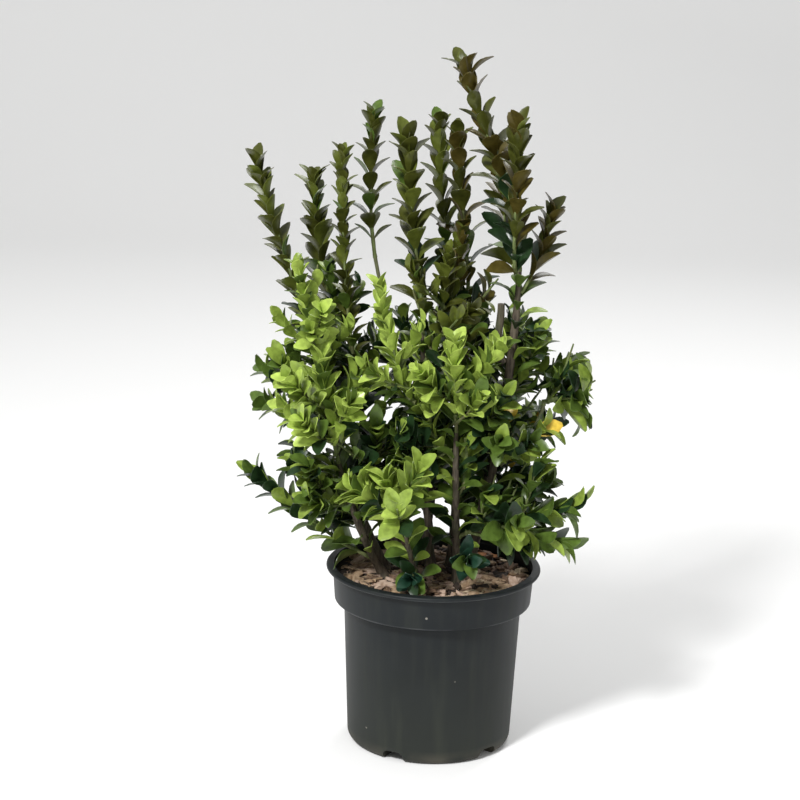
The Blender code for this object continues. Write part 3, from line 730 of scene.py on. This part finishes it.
SHOOTS = (
    Shoot("spire_left_outer", "stem_left", 1.0, (-0.197, -0.010, 0.639), 0.85, 0.028, 0.029, 0),
    Shoot("spire_left_rear", "stem_back_left", 1.0, (-0.139, 0.055, 0.618), 0.20, 0.032, 0.029, 0),
    Shoot("spire_left_thick", "stem_middle_left", 1.0, (-0.108, 0.015, 0.655), 0.15, 0.036, 0.026, 0),
    Shoot("spire_slim", "bough_slim", 1.0, (-0.078, 0.070, 0.682), 0.10, 0.027, 0.024, 0),
    Shoot("spire_middle", "stem_middle", 1.0, (-0.040, -0.020, 0.670), 0.25, 0.034, 0.028, 0),
    Shoot("spire_middle_rear", "stem_back", 1.0, (-0.009, 0.075, 0.676), 0.40, 0.032, 0.031, 0),
    Shoot("spire_right_rear", "stem_back_right", 1.0, (0.011, 0.040, 0.669), 0.50, 0.032, 0.031, 0),
    Shoot("spire_tallest", "stem_right", 1.0, (0.011, -0.010, 0.751), 0.90, 0.034, 0.031, 0),
    Shoot("spire_right_inner", "stem_right", 0.97, (0.055, 0.055, 0.654), 0.50, 0.034, 0.031, 0),
    Shoot("spire_right_front", "stem_right", 0.96, (0.072, -0.045, 0.691), 0.60, 0.032, 0.031, 0),
    Shoot("spire_right_small", "stem_right", 0.93, (0.113, 0.012, 0.594), 0.60, 0.033, 0.026, 0),
    Shoot("spray_right_upper", "stem_right", 0.60, (0.113, 0.035, 0.458), 0.50, 0.036, 0.026, 2),
    Shoot("spray_right_middle", "bough_right", 1.0, (0.155, 0.020, 0.391), 0.90, 0.033, 0.018, 1),
    Shoot("spray_right_low", "stem_front_right", 0.32, (0.159, -0.070, 0.296), 0.90, 0.034, 0.030, 2),
    Shoot("spray_left_low", "stem_front_left", 0.20, (-0.204, -0.035, 0.311), 0.95, 0.032, 0.030, 0),
    Shoot("spire_front_left", "stem_front_left", 1.0, (-0.122, -0.065, 0.458), 0.40, 0.045, 0.028, 2),
    Shoot("spire_front_right", "stem_front_right", 1.0, (0.014, -0.070, 0.483), 0.40, 0.045, 0.028, 1),
    Shoot("spire_leaning", "stem_front_right", 0.82, (-0.067, -0.050, 0.533), 0.35, 0.039, 0.031, 1),
    Shoot("spire_left_front", "stem_left", 0.90, (-0.149, -0.040, 0.545), 0.45, 0.036, 0.028, 1),
    Shoot("spray_left_middle", "stem_left", 0.70, (-0.162, 0.010, 0.450), 0.60, 0.043, 0.028, 2),
    Shoot("spray_left_lower", "stem_front_left", 0.62, (-0.162, -0.040, 0.339), 0.70, 0.045, 0.028, 1),
    Shoot("spire_front_low", "stem_front_low", 1.0, (-0.053, -0.085, 0.342), 0.50, 0.047, 0.028, 2),
    Shoot("spray_front_middle", "stem_middle_left", 0.55, (-0.063, -0.050, 0.386), 0.30, 0.046, 0.030, 3),
    Shoot("spire_right_middle", "stem_front_right", 0.58, (0.048, -0.035, 0.447), 0.20, 0.044, 0.030, 2),
    Shoot("spire_centre", "stem_middle", 0.88, (0.006, -0.035, 0.564), 0.30, 0.036, 0.030, 1),
    Shoot("spire_centre_right", "stem_back_right", 0.86, (0.018, 0.012, 0.575), 0.20, 0.036, 0.030, 1),
    Shoot("spire_left_inner", "stem_middle_left", 0.86, (-0.119, 0.030, 0.531), 0.30, 0.039, 0.030, 1),
    Shoot("spray_right_inner", "stem_right", 0.40, (0.069, -0.040, 0.395), 0.30, 0.045, 0.030, 2),
    Shoot("spray_centre", "stem_middle", 0.42, (-0.014, -0.042, 0.405), 0.30, 0.046, 0.030, 3),
    Shoot("spire_back_left", "stem_back_left", 0.68, (-0.125, 0.092, 0.440), 0.40, 0.044, 0.030, 2),
    Shoot("spire_back", "stem_back", 0.62, (-0.045, 0.108, 0.470), 0.40, 0.044, 0.030, 2),
    Shoot("spire_back_right", "stem_back_right", 0.62, (0.045, 0.100, 0.490), 0.40, 0.044, 0.030, 2),
    Shoot("spray_back_far_right", "stem_back_right", 0.38, (0.090, 0.085, 0.400), 0.50, 0.044, 0.031, 2),
    Shoot("spray_back_low_right", "stem_back_right", 0.18, (0.070, 0.108, 0.300), 0.60, 0.045, 0.030, 2),
    Shoot("spray_back_low_left", "stem_back_left", 0.25, (-0.090, 0.108, 0.290), 0.60, 0.045, 0.030, 2),
    Shoot("spray_back_low", "stem_back", 0.25, (-0.008, 0.125, 0.320), 0.50, 0.045, 0.030, 2),
    Shoot("spray_right_back", "stem_right", 0.47, (0.092, 0.078, 0.362), 0.50, 0.044, 0.030, 2),
    Shoot("spray_low_front", "stem_front_low", 0.40, (-0.024, -0.104, 0.238), 0.60, 0.047, 0.023, 0),
    Shoot("spray_low_front_right", "stem_front_right", 0.20, (0.040, -0.094, 0.254), 0.60, 0.047, 0.026, 0),
    Shoot("spray_low_right", "stem_right", 0.17, (0.096, -0.040, 0.272), 0.70, 0.045, 0.026, 1),
    Shoot("spray_low_left", "stem_left", 0.22, (-0.108, 0.024, 0.280), 0.80, 0.045, 0.026, 1),
    Shoot("spray_low_back", "stem_right", 0.22, (0.090, 0.052, 0.275), 0.80, 0.045, 0.026, 1),
)
print(len(STEMS), "stems,", len(BOUGHS), "boughs and", len(SHOOTS), "spires and sprays")


# %% [markdown]
# ## Paths
#
# Each stem, bough and twig follows a path: a cubic curve kept as short straight stretches. A path
# that starts on another one starts just clear of its surface, as the solids do.

# %% Path
class Path:
    """A smooth curve kept as straight stretches, so that what grows on it starts on its surface.

    It leaves the foot along start and turns upright before the tip: lean 1 keeps it straight.
    """

    def __init__(self, foot, start, tip, lean, count):
        rise = tip - foot
        end = (rise.normalized() * lean + UP * (1.0 - lean)).normalized()
        near = foot + start.normalized() * rise.length * FOOT_PULL
        far = tip - end * rise.length * TIP_PULL
        self.points = []
        for index in range(count + 1):
            share = index / count
            rest = 1.0 - share
            self.points.append(
                foot * rest**3
                + near * 3 * rest**2 * share
                + far * 3 * rest * share**2
                + tip * share**3
            )
        ahead = [(far - near).normalized() for near, far in zip(self.points, self.points[1:])]
        between = [(low + high).normalized() for low, high in zip(ahead, ahead[1:])]
        self.headings = [start.normalized(), *between, ahead[-1]]
        self.length = sum((far - near).length for near, far in zip(self.points, self.points[1:]))

    def place(self, travelled):
        """The point this far along the path, and the way the path heads there."""
        for index in range(len(self.points) - 1):
            near, far = self.points[index : index + 2]
            stretch = (far - near).length
            if travelled <= stretch or index == len(self.points) - 2:
                share = min(1.0, travelled / stretch)
                heading = self.headings[index].lerp(self.headings[index + 1], share)
                return near.lerp(far, share), heading.normalized()
            travelled -= stretch

    @classmethod
    def through(cls, path, step):
        """The same path in shorter stretches."""
        fine = cls.__new__(cls)
        count = max(2, round(path.length / step))
        stops = [path.place(path.length * index / count) for index in range(count + 1)]
        fine.points = [point for point, _ in stops]
        fine.headings = [heading for _, heading in stops]
        fine.length = path.length
        return fine


# %% Paths of stems and boughs
def steps_for(foot, tip, step):
    return max(2, round((tip - foot).length / step))


def limb_radius(limb, share, height):
    """The radius along a limb: an even taper, with a root flare just above the ground."""
    radius = limb.radius + (limb.tip_radius - limb.radius) * share
    if isinstance(limb, Stem):
        radius *= 1.0 + FLARE * math.exp(-(height - GROUND) / FLARE_HEIGHT)
    return radius


def attach(parent, path, at, tip, radius):
    """Where a twig of this radius starts, just clear of its parent, and the way it sets off."""
    centre, heading = path.place(at * path.length)
    if at == 1.0:
        return centre + heading * GAP, heading
    toward = tip - centre
    side = (toward - heading * toward.dot(heading)).normalized()
    start = (side * 0.7 + heading * 0.7).normalized()
    lift = radius * math.sqrt(1.0 - start.dot(side) ** 2)
    return centre + side * (limb_radius(parent, at, centre.z) + lift + GAP), start


def plan_limbs():
    """Each stem and bough by name: its row and its path."""
    limbs = {}
    for stem in STEMS:
        foot = Vector((*stem.foot, GROUND + GAP))
        tip = Vector(stem.tip)
        flat = Vector((tip.x - foot.x, tip.y - foot.y, 0.0))
        path = Path(foot, flat * 1.6 / (tip.z - foot.z) + UP, tip, stem.lean, LIMB_STEPS)
        path.headings[0] = UP
        low = foot + (path.points[1] - foot) * (FLARE_HEIGHT / (path.points[1].z - foot.z))
        path.points.insert(1, low)
        path.headings.insert(1, path.headings[1])
        limbs[stem.name] = (stem, path)
    for bough in BOUGHS:
        parent, path = limbs[bough.parent]
        tip = Vector(bough.tip)
        foot, start = attach(parent, path, bough.at, tip, bough.radius)
        path = Path(foot, start, tip, bough.lean, LIMB_STEPS)
        limbs[bough.name] = (bough, path)
    return limbs


limbs = plan_limbs()
print("paths for", len(limbs), "stems and boughs")


# %% Paths of spires, sprays and side twigs
def side_twig_paths(count, stem, dice):
    """Short side twigs round the stem's lower part, each a golden angle on from the last."""
    turn = dice.uniform(0.0, math.tau)
    for index in range(count):
        share = SIDE_TWIG_REACH * (index + 0.6) / count
        root, heading = stem.place(share * stem.length)
        out = heading.orthogonal().normalized()
        out.rotate(Matrix.Rotation(turn, 3, heading))
        start = heading * math.cos(SIDE_TWIG_SPREAD) + out * math.sin(SIDE_TWIG_SPREAD)
        length = SIDE_TWIG_LENGTH * dice.uniform(0.8, 1.15)
        tip = root + start * length + UP * length * 0.2
        yield Path(root, start, tip, 0.6, 2)
        turn += GOLDEN_ANGLE


def shoot_path(shoot, limbs):
    """The stem's path, which ends where the topmost leaves can still reach the shoot's tip."""
    parent, path = limbs[shoot.parent]
    tip = Vector(shoot.tip)
    foot, start = attach(parent, path, shoot.at, tip, TWIG_RADIUS)
    rise = (tip - foot).normalized()
    end = (rise * shoot.lean + UP * (1.0 - shoot.lean)).normalized()
    top = tip - end * shoot.leaf * TIP_LEAF * math.cos(SPREAD_TIP)
    return Path(foot, start, top, shoot.lean, steps_for(foot, top, TWIG_STEP))


def axis_points(path):
    count = round(path.length / AXIS_STEP)
    return [path.place(path.length * index / count)[0] for index in range(count + 1)]


paths = {shoot.name: shoot_path(shoot, limbs) for shoot in SHOOTS}
longest = max(path.length for path in paths.values())
print("paths for", len(paths), "spires and sprays, up to", round(longest, 3), "m long")


# %% [markdown]
# ## Bark on stems and boughs
#
# Old spindle stems are grey-brown with fine upright ridges, and swollen a little where leaves have
# fallen; young wood is green. A tube is built round each path with many rings, and each point is
# moved in or out by noise that is stretched along the stem. Each dressed stem stands for its solid.

# %% Bark
BARK_SIDES = 14
BARK_RING = 0.004
BARK_RELIEF = 0.09
KNOT_PITCH = 0.017
TAPER_FROM = 0.7  # the share of a limb above which it narrows to a twig
TAPER_END = 1.25  # its width at the tip, in twigs


def bark_finish(name, dark, light, moss):
    finish = Finish(name, dark, 0.8)
    ridges = finish.grain(finish.stretched((420.0, 420.0, 60.0)), 1.0, 6.0)
    patches = finish.grain(finish.place(), 40.0, 4.0)
    wood = finish.blend(ridges.between(0.35, 0.65), dark, light)
    finish.set("Base Color", finish.blend(patches.between(0.5, 0.7) * 0.6, wood, moss))
    finish.bump(ridges, 0.8, 0.0008)
    return finish.material


OLD_BARK = bark_finish("old bark", (0.034, 0.024, 0.016), (0.125, 0.100, 0.070), (0.07, 0.08, 0.035))
YOUNG_BARK = bark_finish("young bark", (0.07, 0.075, 0.032), (0.19, 0.20, 0.10), (0.10, 0.15, 0.04))
GREEN_TWIG = bark_finish("green twig", (0.085, 0.115, 0.030), (0.20, 0.25, 0.085), (0.13, 0.10, 0.05))


def bark_tube(name, path, radii, sides, relief, seed):
    """A tube of rings across the path, with ridges along it and a knot at each old leaf pair."""
    corners, faces = [], []
    across = path.headings[0].orthogonal().normalized()
    travelled = 0.0
    for index, (centre, heading, radius) in enumerate(zip(path.points, path.headings, radii)):
        if index:
            travelled += (centre - path.points[index - 1]).length
        across = (across - heading * across.dot(heading)).normalized()
        other = heading.cross(across)
        knot = 1.0 + relief * 1.2 * max(0.0, math.cos(math.tau * travelled / KNOT_PITCH)) ** 6
        for side in range(sides):
            turn = math.tau * side / sides
            out = across * math.cos(turn) + other * math.sin(turn)
            along = Vector((out.x * 2.2, out.y * 2.2, travelled * 45.0 + seed))
            ridge = 1.0 + relief * noise.noise(along) * 1.6
            corners.append(centre + out * radius * knot * ridge)
    rings = len(path.points)
    for ring in range(rings - 1):
        for side in range(sides):
            after = (side + 1) % sides
            low, high = ring * sides, (ring + 1) * sides
            faces.append((low + side, low + after, high + after, high + side))
    faces.append(tuple(reversed(range(sides))))
    faces.append(tuple(range((rings - 1) * sides, rings * sides)))
    return Shape(corners, faces)


def limb_taper(limb, share, height):
    """The solid's radius, drawn in near the tip to the width of the twig that carries on."""
    radius = limb_radius(limb, share, height)
    if not limb.name.startswith("stub"):
        ease = max(0.0, (share - TAPER_FROM) / (1.0 - TAPER_FROM)) ** 2
        radius += (TWIG_RADIUS * TAPER_END - radius) * ease
    return radius


def dress_limb(number, limb, path):
    fine = Path.through(path, BARK_RING)
    last = len(fine.points) - 1
    radii = [limb_taper(limb, i / last, point.z) for i, point in enumerate(fine.points)]
    shape = bark_tube(limb.name, fine, radii, BARK_SIDES, BARK_RELIEF, number * 9.0)
    young = limb.name.startswith("bough")
    piece = joined_piece(limb.name + "_bark", [shape], [0])
    finish = YOUNG_BARK if young else OLD_BARK
    return dress(piece, [finish], [limb.name], 60.0)


for number, (limb, path) in enumerate(limbs.values()):
    dress_limb(number, limb, path)
print(len(limbs), "stems and boughs dressed")


# %% [markdown]
# ## Leaf finishes
#
# Spindle leaves are leathery and glossy. The photograph shows yellow-green ones on the sunlit
# front spires, olive and bronze ones at the tops, dark blue-green ones low down and inside, and a
# few that have turned yellow. The lightest tone, on the front spires, is painted sunlight, and the
# dark tones low down and inside are painted shade as well as darker leaves. Each tone is one
# colour, mottled a little, dealt out by spray and by height.

# %% Leaf tones
LEAF_TONES = {
    # A lighter copy of the fresh tone: painted sunlight on the front spires.
    "bright": (0.385, 0.510, 0.095),
    "fresh": (0.215, 0.300, 0.046),
    "leafy": (0.075, 0.125, 0.019),
    # Darker leaves, and also painted shade low down and inside the sprays.
    "deep": (0.013, 0.034, 0.010),
    # Painted shade on the blue-green leaves of the low front sprays.
    "blue": (0.013, 0.044, 0.025),
    "olive": (0.056, 0.063, 0.008),
    "sage": (0.092, 0.112, 0.015),
    "bronze": (0.066, 0.052, 0.008),
    "yellow": (0.62, 0.43, 0.050),
}


def leaf_finish(name, colour):
    finish = Finish("leaf " + name, colour, 0.30)
    finish.set("Specular IOR Level", 0.32)
    mottle = finish.grain(finish.place(), 140.0, 3.0)
    pale = tuple(min(1.0, part * 1.25 + 0.004) for part in colour)
    dark = tuple(part * 0.72 for part in colour)
    finish.set("Base Color", finish.blend(mottle.between(0.3, 0.7), dark, pale))
    return finish.material


TONE_NAMES = list(LEAF_TONES)
LEAF_FINISHES = [leaf_finish(name, colour) for name, colour in LEAF_TONES.items()]
MIXES = {
    # The front spires: painted sunlight, with the lightest tone.
    "sunlit": {"bright": 5, "fresh": 4, "leafy": 1},
    "green": {"fresh": 3, "leafy": 5, "deep": 2},
    "olive": {"olive": 5, "sage": 4, "leafy": 1},
    "bronze": {"bronze": 5, "olive": 4, "sage": 1},
    # The inner and shade mixes are mostly dark tones: painted shade as well as darker leaves.
    "inner": {"deep": 6, "leafy": 3, "fresh": 1},
    "shade": {"blue": 5, "deep": 4, "leafy": 1},
    "turning": {"deep": 3, "leafy": 5, "fresh": 3, "yellow": 1},
}
MIX_SHOOTS = {
    "shade": (
        "spray_low_front", "spray_low_front_right",
    ),
    "sunlit": (
        "spire_front_left", "spire_front_right", "spire_leaning", "spire_left_front",
        "spire_front_low",
    ),
    "green": (
        "spray_left_low", "spray_left_lower", "spray_left_middle", "spray_front_middle",
        "spray_right_low", "spray_right_upper", "spray_right_middle", "spire_left_inner",
        "spire_right_middle",
    ),
    "olive": (
        "spire_left_outer", "spire_left_rear", "spire_left_thick", "spire_slim",
        "spire_middle", "spire_middle_rear", "spire_centre",
    ),
    "bronze": (
        "spire_right_rear", "spire_tallest", "spire_right_inner", "spire_right_front",
        "spire_right_small", "spire_centre_right",
    ),
    "turning": (
        "spray_right_inner", "spray_right_back",
    ),
}
MIX_OF_SHOOT = {name: mix for mix, names in MIX_SHOOTS.items() for name in names}
# Below this share of a twig, half the leaves get dark tones: painted shade low in each spray.
SHADED_LOW_SHARE = 0.35
print(len(LEAF_FINISHES), "leaf tones")


# %% [markdown]
# ## One leaf
#
# A spindle leaf is widest beyond its middle, folded along its rib, and its tip bends back. It is
# modelled once: a narrow grid is resized row by row to the leaf's outline, the rib is lowered,
# and a Solidify modifier gives it a real thickness. Every leaf on the plant is a copy of one of
# a few such blades, and stays at a few dozen faces because there are so many.

# %% Blade shapes
BLADE_ROWS = 7
BLADE_WIDTHS = (0.10, 0.32, 0.60, 0.84, 0.98, 0.97, 0.74, 0.22)
BLADE_THICKNESS = 0.014
Blade = namedtuple("Blade", "width fold arch bend")
BLADES = (
    Blade(0.43, 0.40, 0.05, 0.10),
    Blade(0.47, 0.32, 0.07, 0.17),
    Blade(0.41, 0.50, 0.04, 0.05),
    Blade(0.49, 0.26, 0.08, 0.22),
)


def make_blade(blade):
    deselect()
    bpy.ops.mesh.primitive_grid_add(x_subdivisions=BLADE_ROWS, y_subdivisions=2, size=1.0)
    piece = bpy.context.active_object
    bpy.ops.object.mode_set(mode="EDIT")
    for row, share in enumerate(BLADE_WIDTHS):
        x = row / BLADE_ROWS - 0.5
        half = blade.width * share / 2
        lift = blade.arch * math.sin(math.pi * row / BLADE_ROWS)
        droop = blade.bend * (row / BLADE_ROWS) ** 2.4
        select_where(piece, lambda place: abs(place.x - x) < 0.01)
        centre = (x, 0.0, 0.0)
        bpy.ops.transform.resize(value=(1.0, 2 * half, 1.0), center_override=centre)
        bpy.ops.transform.translate(value=(0.0, 0.0, lift - droop))
        select_where(piece, lambda place: abs(place.x - x) < 0.01 and abs(place.y) > half / 2)
        bpy.ops.transform.translate(value=(0.0, 0.0, blade.fold * half))
    bpy.ops.mesh.select_all(action="SELECT")
    bpy.ops.transform.translate(value=(0.5, 0.0, 0.0))
    bpy.ops.object.mode_set(mode="OBJECT")
    wall = piece.modifiers.new("wall", "SOLIDIFY")
    wall.thickness = BLADE_THICKNESS
    wall.offset = -1.0
    bpy.ops.object.modifier_apply(modifier=wall.name)
    return shape_of(piece)


blade_shapes = [make_blade(blade) for blade in BLADES]
reach = max(corner.x for corner in blade_shapes[0].corners)
print("a blade has", len(blade_shapes[0].faces), "faces and is", round(reach, 2), "long")


# %% [markdown]
# ## Foliage
#
# Each spire or spray grows as in the solids: pairs of leaves set crosswise, from the tip down,
# steeper at the tip than below. Here the pairs stand closer and each leaf has its natural size,
# so the same outline is filled with more and finer leaves. A leaf that would reach into a stem,
# the pot or another spray's space is turned, or skipped. A spray's twigs are one piece and its
# leaves another, and both stand for the spray's solid.

# %% Sizes of the fine foliage
FINE_PITCH = 0.36
SPIRE_PITCH = 0.48
SPIRE_LEAF = 0.036  # spire leaves shorter than this keep their length
FINE_LEAF = 0.72
TIP_CROWD = 0.30
FINE_SPREAD_LOW = math.radians(50.0)
FINE_SPREAD_TIP = math.radians(18.0)
BOX_MARGIN = 0.004
SPIRE_SWELL = 1.12
STEM_LEAF = 0.033
STEM_PITCH = 0.0105
STEM_SPREAD = math.radians(58.0)
STEM_LEAVES = (0.24, 0.97)  # the part of a stem that still carries leaves
EXTRA_TWIGS = 5
TWIG_BARK_SIDES = 7
TWIG_RING = 0.006
TWIG_FOOT = 1.35
FOOT_SINK = 0.004
print("crosswise pairs, spread from", round(math.degrees(FINE_SPREAD_LOW)), "degrees low to", end=" ")
print(round(math.degrees(FINE_SPREAD_TIP)), "degrees at the tip")


# %% Room for leaves
class Room:
    """What is already there: stems and pot that a leaf keeps clear of, and each spray's space."""

    def __init__(self, names, axes):
        self.solids = {}
        for name in names:
            mesh = frame["nodes"][name].data
            corners = [vert.co.copy() for vert in mesh.vertices]
            faces = [tuple(face.vertices) for face in mesh.polygons]
            self.solids[name] = BVHTree.FromPolygons(corners, faces)
        self.axes = axes
        self.owners = [name for name, points in axes.items() for _ in points]
        self.nearest = KDTree(len(self.owners))
        for index, place in enumerate(place for points in axes.values() for place in points):
            self.nearest.insert(place, index)
        self.nearest.balance()

    def is_own(self, owner, point):
        _, index, distance = self.nearest.find(point)
        if self.owners[index] == owner:
            return True
        own = min((point - place).length for place in self.axes[owner])
        return own < distance + SHARED_SPACE

    def is_free(self, owner, points):
        if not all(self.is_own(owner, point) for point in points[1:]):
            return False
        return self.is_clear(points, None)

    def is_clear(self, points, carrier):
        """Whether the leaf stays in the solids' box and misses pot, mulch and other stems."""
        low, high = cad_box
        for axis in range(3):
            for point in points:
                if not low[axis] - BOX_MARGIN < point[axis] < high[axis] + BOX_MARGIN:
                    return False
        tree = BVHTree.FromPolygons(points, LEAF_FACES)
        others = (solid for name, solid in self.solids.items() if name != carrier)
        return not any(solid.overlap(tree) for solid in others)


room = Room(
    ["pot", "mulch", *limbs],
    {name: axis_points(path) for name, path in paths.items()},
)
print("leaves keep clear of", len(room.solids), "solids")


# %% Place one leaf
def leaf_frame(heading, out, spread, roll):
    """The leaf's own axes: along it, across it and up from its face."""
    along = (heading * math.cos(spread) + out * math.sin(spread)).normalized()
    face = (heading - along * heading.dot(along)).normalized()
    face.rotate(Matrix.Rotation(roll, 3, along))
    return along, face.cross(along), face


def leaf_outline(root, along, across, face, length):
    """Six points that stand for the leaf when its room is tested."""
    widest = root + along * length * LEAF_WIDEST + face * length * LEAF_FOLD
    half = across * length * LEAF_WIDTH / 2
    rib = root + along * length * 0.5
    tip = root + along * length - face * length * LEAF_DROOP
    thick = face * LEAF_THICKNESS / 2
    return [root, tip, widest + half, widest - half, rib + thick, rib - thick]


def pick_tone(mix, share, dice):
    """A tone of the spray's mix, darker among the lowest leaves, where the dark tones paint shade."""
    if share < SHADED_LOW_SHARE and dice.random() < 0.5:
        return TONE_NAMES.index("deep" if dice.random() < 0.5 else "leafy")
    return TONE_NAMES.index(dice.choices(list(mix), list(mix.values()))[0])


def placed_blade(root, axes, length, dice):
    """A copy of one of the blades, sized and put in place."""
    along, across, face = axes
    blade = blade_shapes[dice.randrange(len(blade_shapes))]
    wide = dice.uniform(0.9, 1.15)
    corners = [
        root + (along * c.x + across * (c.y * wide) + face * c.z) * length for c in blade.corners
    ]
    return Shape(corners, blade.faces)


# %% Leaves on stems and twigs
def grow_stem_leaves(limb, path, room, dice):
    """Leaf pairs on the woody stem itself, which hide most of it as on the real plant."""
    leaves, tones = [], []
    first, last = STEM_LEAVES
    travelled = first * path.length
    turn = dice.uniform(0.0, math.tau)
    while travelled < last * path.length:
        centre, heading = path.place(travelled)
        radius = limb_taper(limb, travelled / path.length, centre.z)
        for half_turn in (0.0, math.pi):
            out = heading.orthogonal().normalized()
            out.rotate(Matrix.Rotation(turn + half_turn, 3, heading))
            tilt = STEM_SPREAD + math.radians(dice.uniform(-16.0, 14.0))
            axes = leaf_frame(heading, out, tilt, math.radians(dice.uniform(-25.0, 25.0)))
            length = STEM_LEAF * dice.uniform(0.75, 1.2)
            root = centre + out * radius * 0.8
            if room.is_clear(leaf_outline(root, *axes, length), limb.name):
                leaves.append(placed_blade(root, axes, length, dice))
                tones.append(pick_tone(MIXES["green"], travelled / path.length, dice))
        turn += math.pi / 2 + math.radians(dice.uniform(-25.0, 25.0))
        travelled += STEM_PITCH * dice.uniform(0.8, 1.25)
    return leaves, tones


def grow_leaves(shoot, path, size, mix, room, dice):
    """The leaves of one twig as placed copies of the blades, with a tone for each."""
    leaves, tones = [], []
    turn = dice.uniform(0.0, math.tau)
    pitch = shoot.pitch * (SPIRE_PITCH if shoot.leaf < SPIRE_LEAF else FINE_PITCH)
    travelled = path.length - TIP_SET
    while travelled > 0.5 * pitch:
        share = travelled / path.length
        from_tip = (path.length - travelled) / (2.0 * shoot.pitch)
        near_tip = max(0.0, 1.0 - from_tip)
        root, heading = path.place(travelled)
        aside = heading.orthogonal().normalized()
        length = size * (1.0 - (1.0 - TIP_LEAF) * near_tip) * dice.uniform(0.84, 1.12)
        spread = FINE_SPREAD_LOW + (FINE_SPREAD_TIP - FINE_SPREAD_LOW) * share**0.8
        for half_turn in (0.0, math.pi):
            for attempt in range(LEAF_TRIES):
                out = aside.copy()
                stray = 0.3 * attempt * dice.uniform(-1.0, 1.0)
                out.rotate(Matrix.Rotation(turn + half_turn + stray, 3, heading))
                tilt = spread + math.radians(dice.uniform(-10.0, 10.0)) * (1 + attempt)
                roll = math.radians(dice.uniform(-18.0, 18.0))
                axes = leaf_frame(heading, out, tilt, roll)
                if room.is_free(shoot.name, leaf_outline(root, *axes, length)):
                    leaves.append(placed_blade(root, axes, length, dice))
                    tones.append(pick_tone(mix, share, dice))
                    break
        turn += math.pi / 2 + math.radians(dice.uniform(-12.0, 12.0))
        crowd = 1.0 - TIP_CROWD * near_tip
        travelled -= pitch * (1.0 - PITCH_SHRINK * share) * crowd
    return leaves, tones


# %% Grow every spire and spray
def twig_tube(path, seed):
    """A twig from just inside what carries it to its tip."""
    fine = Path.through(path, TWIG_RING)
    fine.points.insert(0, fine.points[0] - fine.headings[0] * FOOT_SINK)
    fine.headings.insert(0, fine.headings[0])
    last = len(fine.points) - 1
    radii = [
        TWIG_RADIUS * TWIG_FOOT * (1.0 - i / last) + TWIG_TIP_RADIUS * i / last
        for i in range(last + 1)
    ]
    return bark_tube("twig", fine, radii, TWIG_BARK_SIDES, BARK_RELIEF, seed)


def grow_spray(shoot, path, room):
    dice = random.Random(shoot.name)
    mix = MIXES[MIX_OF_SHOOT.get(shoot.name, "inner")]
    twigs = [twig_tube(path, dice.uniform(0.0, 99.0))]
    size = shoot.leaf * (SPIRE_SWELL if shoot.leaf < SPIRE_LEAF else FINE_LEAF)
    leaves, tones = grow_leaves(shoot, path, size, mix, room, dice)
    if shoot.twigs:
        sides = list(side_twig_paths(shoot.twigs, path, random.Random(shoot.name)))
        sides += side_twig_paths(EXTRA_TWIGS, path, dice)
        for side in sides:
            more, more_tones = grow_leaves(shoot, side, size, mix, room, dice)
            if more:
                twigs.append(twig_tube(side, dice.uniform(0.0, 99.0)))
                leaves += more
                tones += more_tones
    limb, limb_path = limbs[shoot.parent]
    if shoot.at == 1.0 and isinstance(limb, Stem):
        more, more_tones = grow_stem_leaves(limb, limb_path, room, dice)
        leaves += more
        tones += more_tones
    stem = joined_piece(shoot.name + "_twigs", twigs, [0] * len(twigs))
    dress(stem, [GREEN_TWIG], [shoot.name], 60.0)
    blades = joined_piece(shoot.name + "_leaves", leaves, tones)
    dress(blades, LEAF_FINISHES, [shoot.name], 50.0)
    return len(leaves)


grown = {shoot.name: grow_spray(shoot, paths[shoot.name], room) for shoot in SHOOTS}
print(sum(grown.values()), "leaves on", len(grown), "spires and sprays")
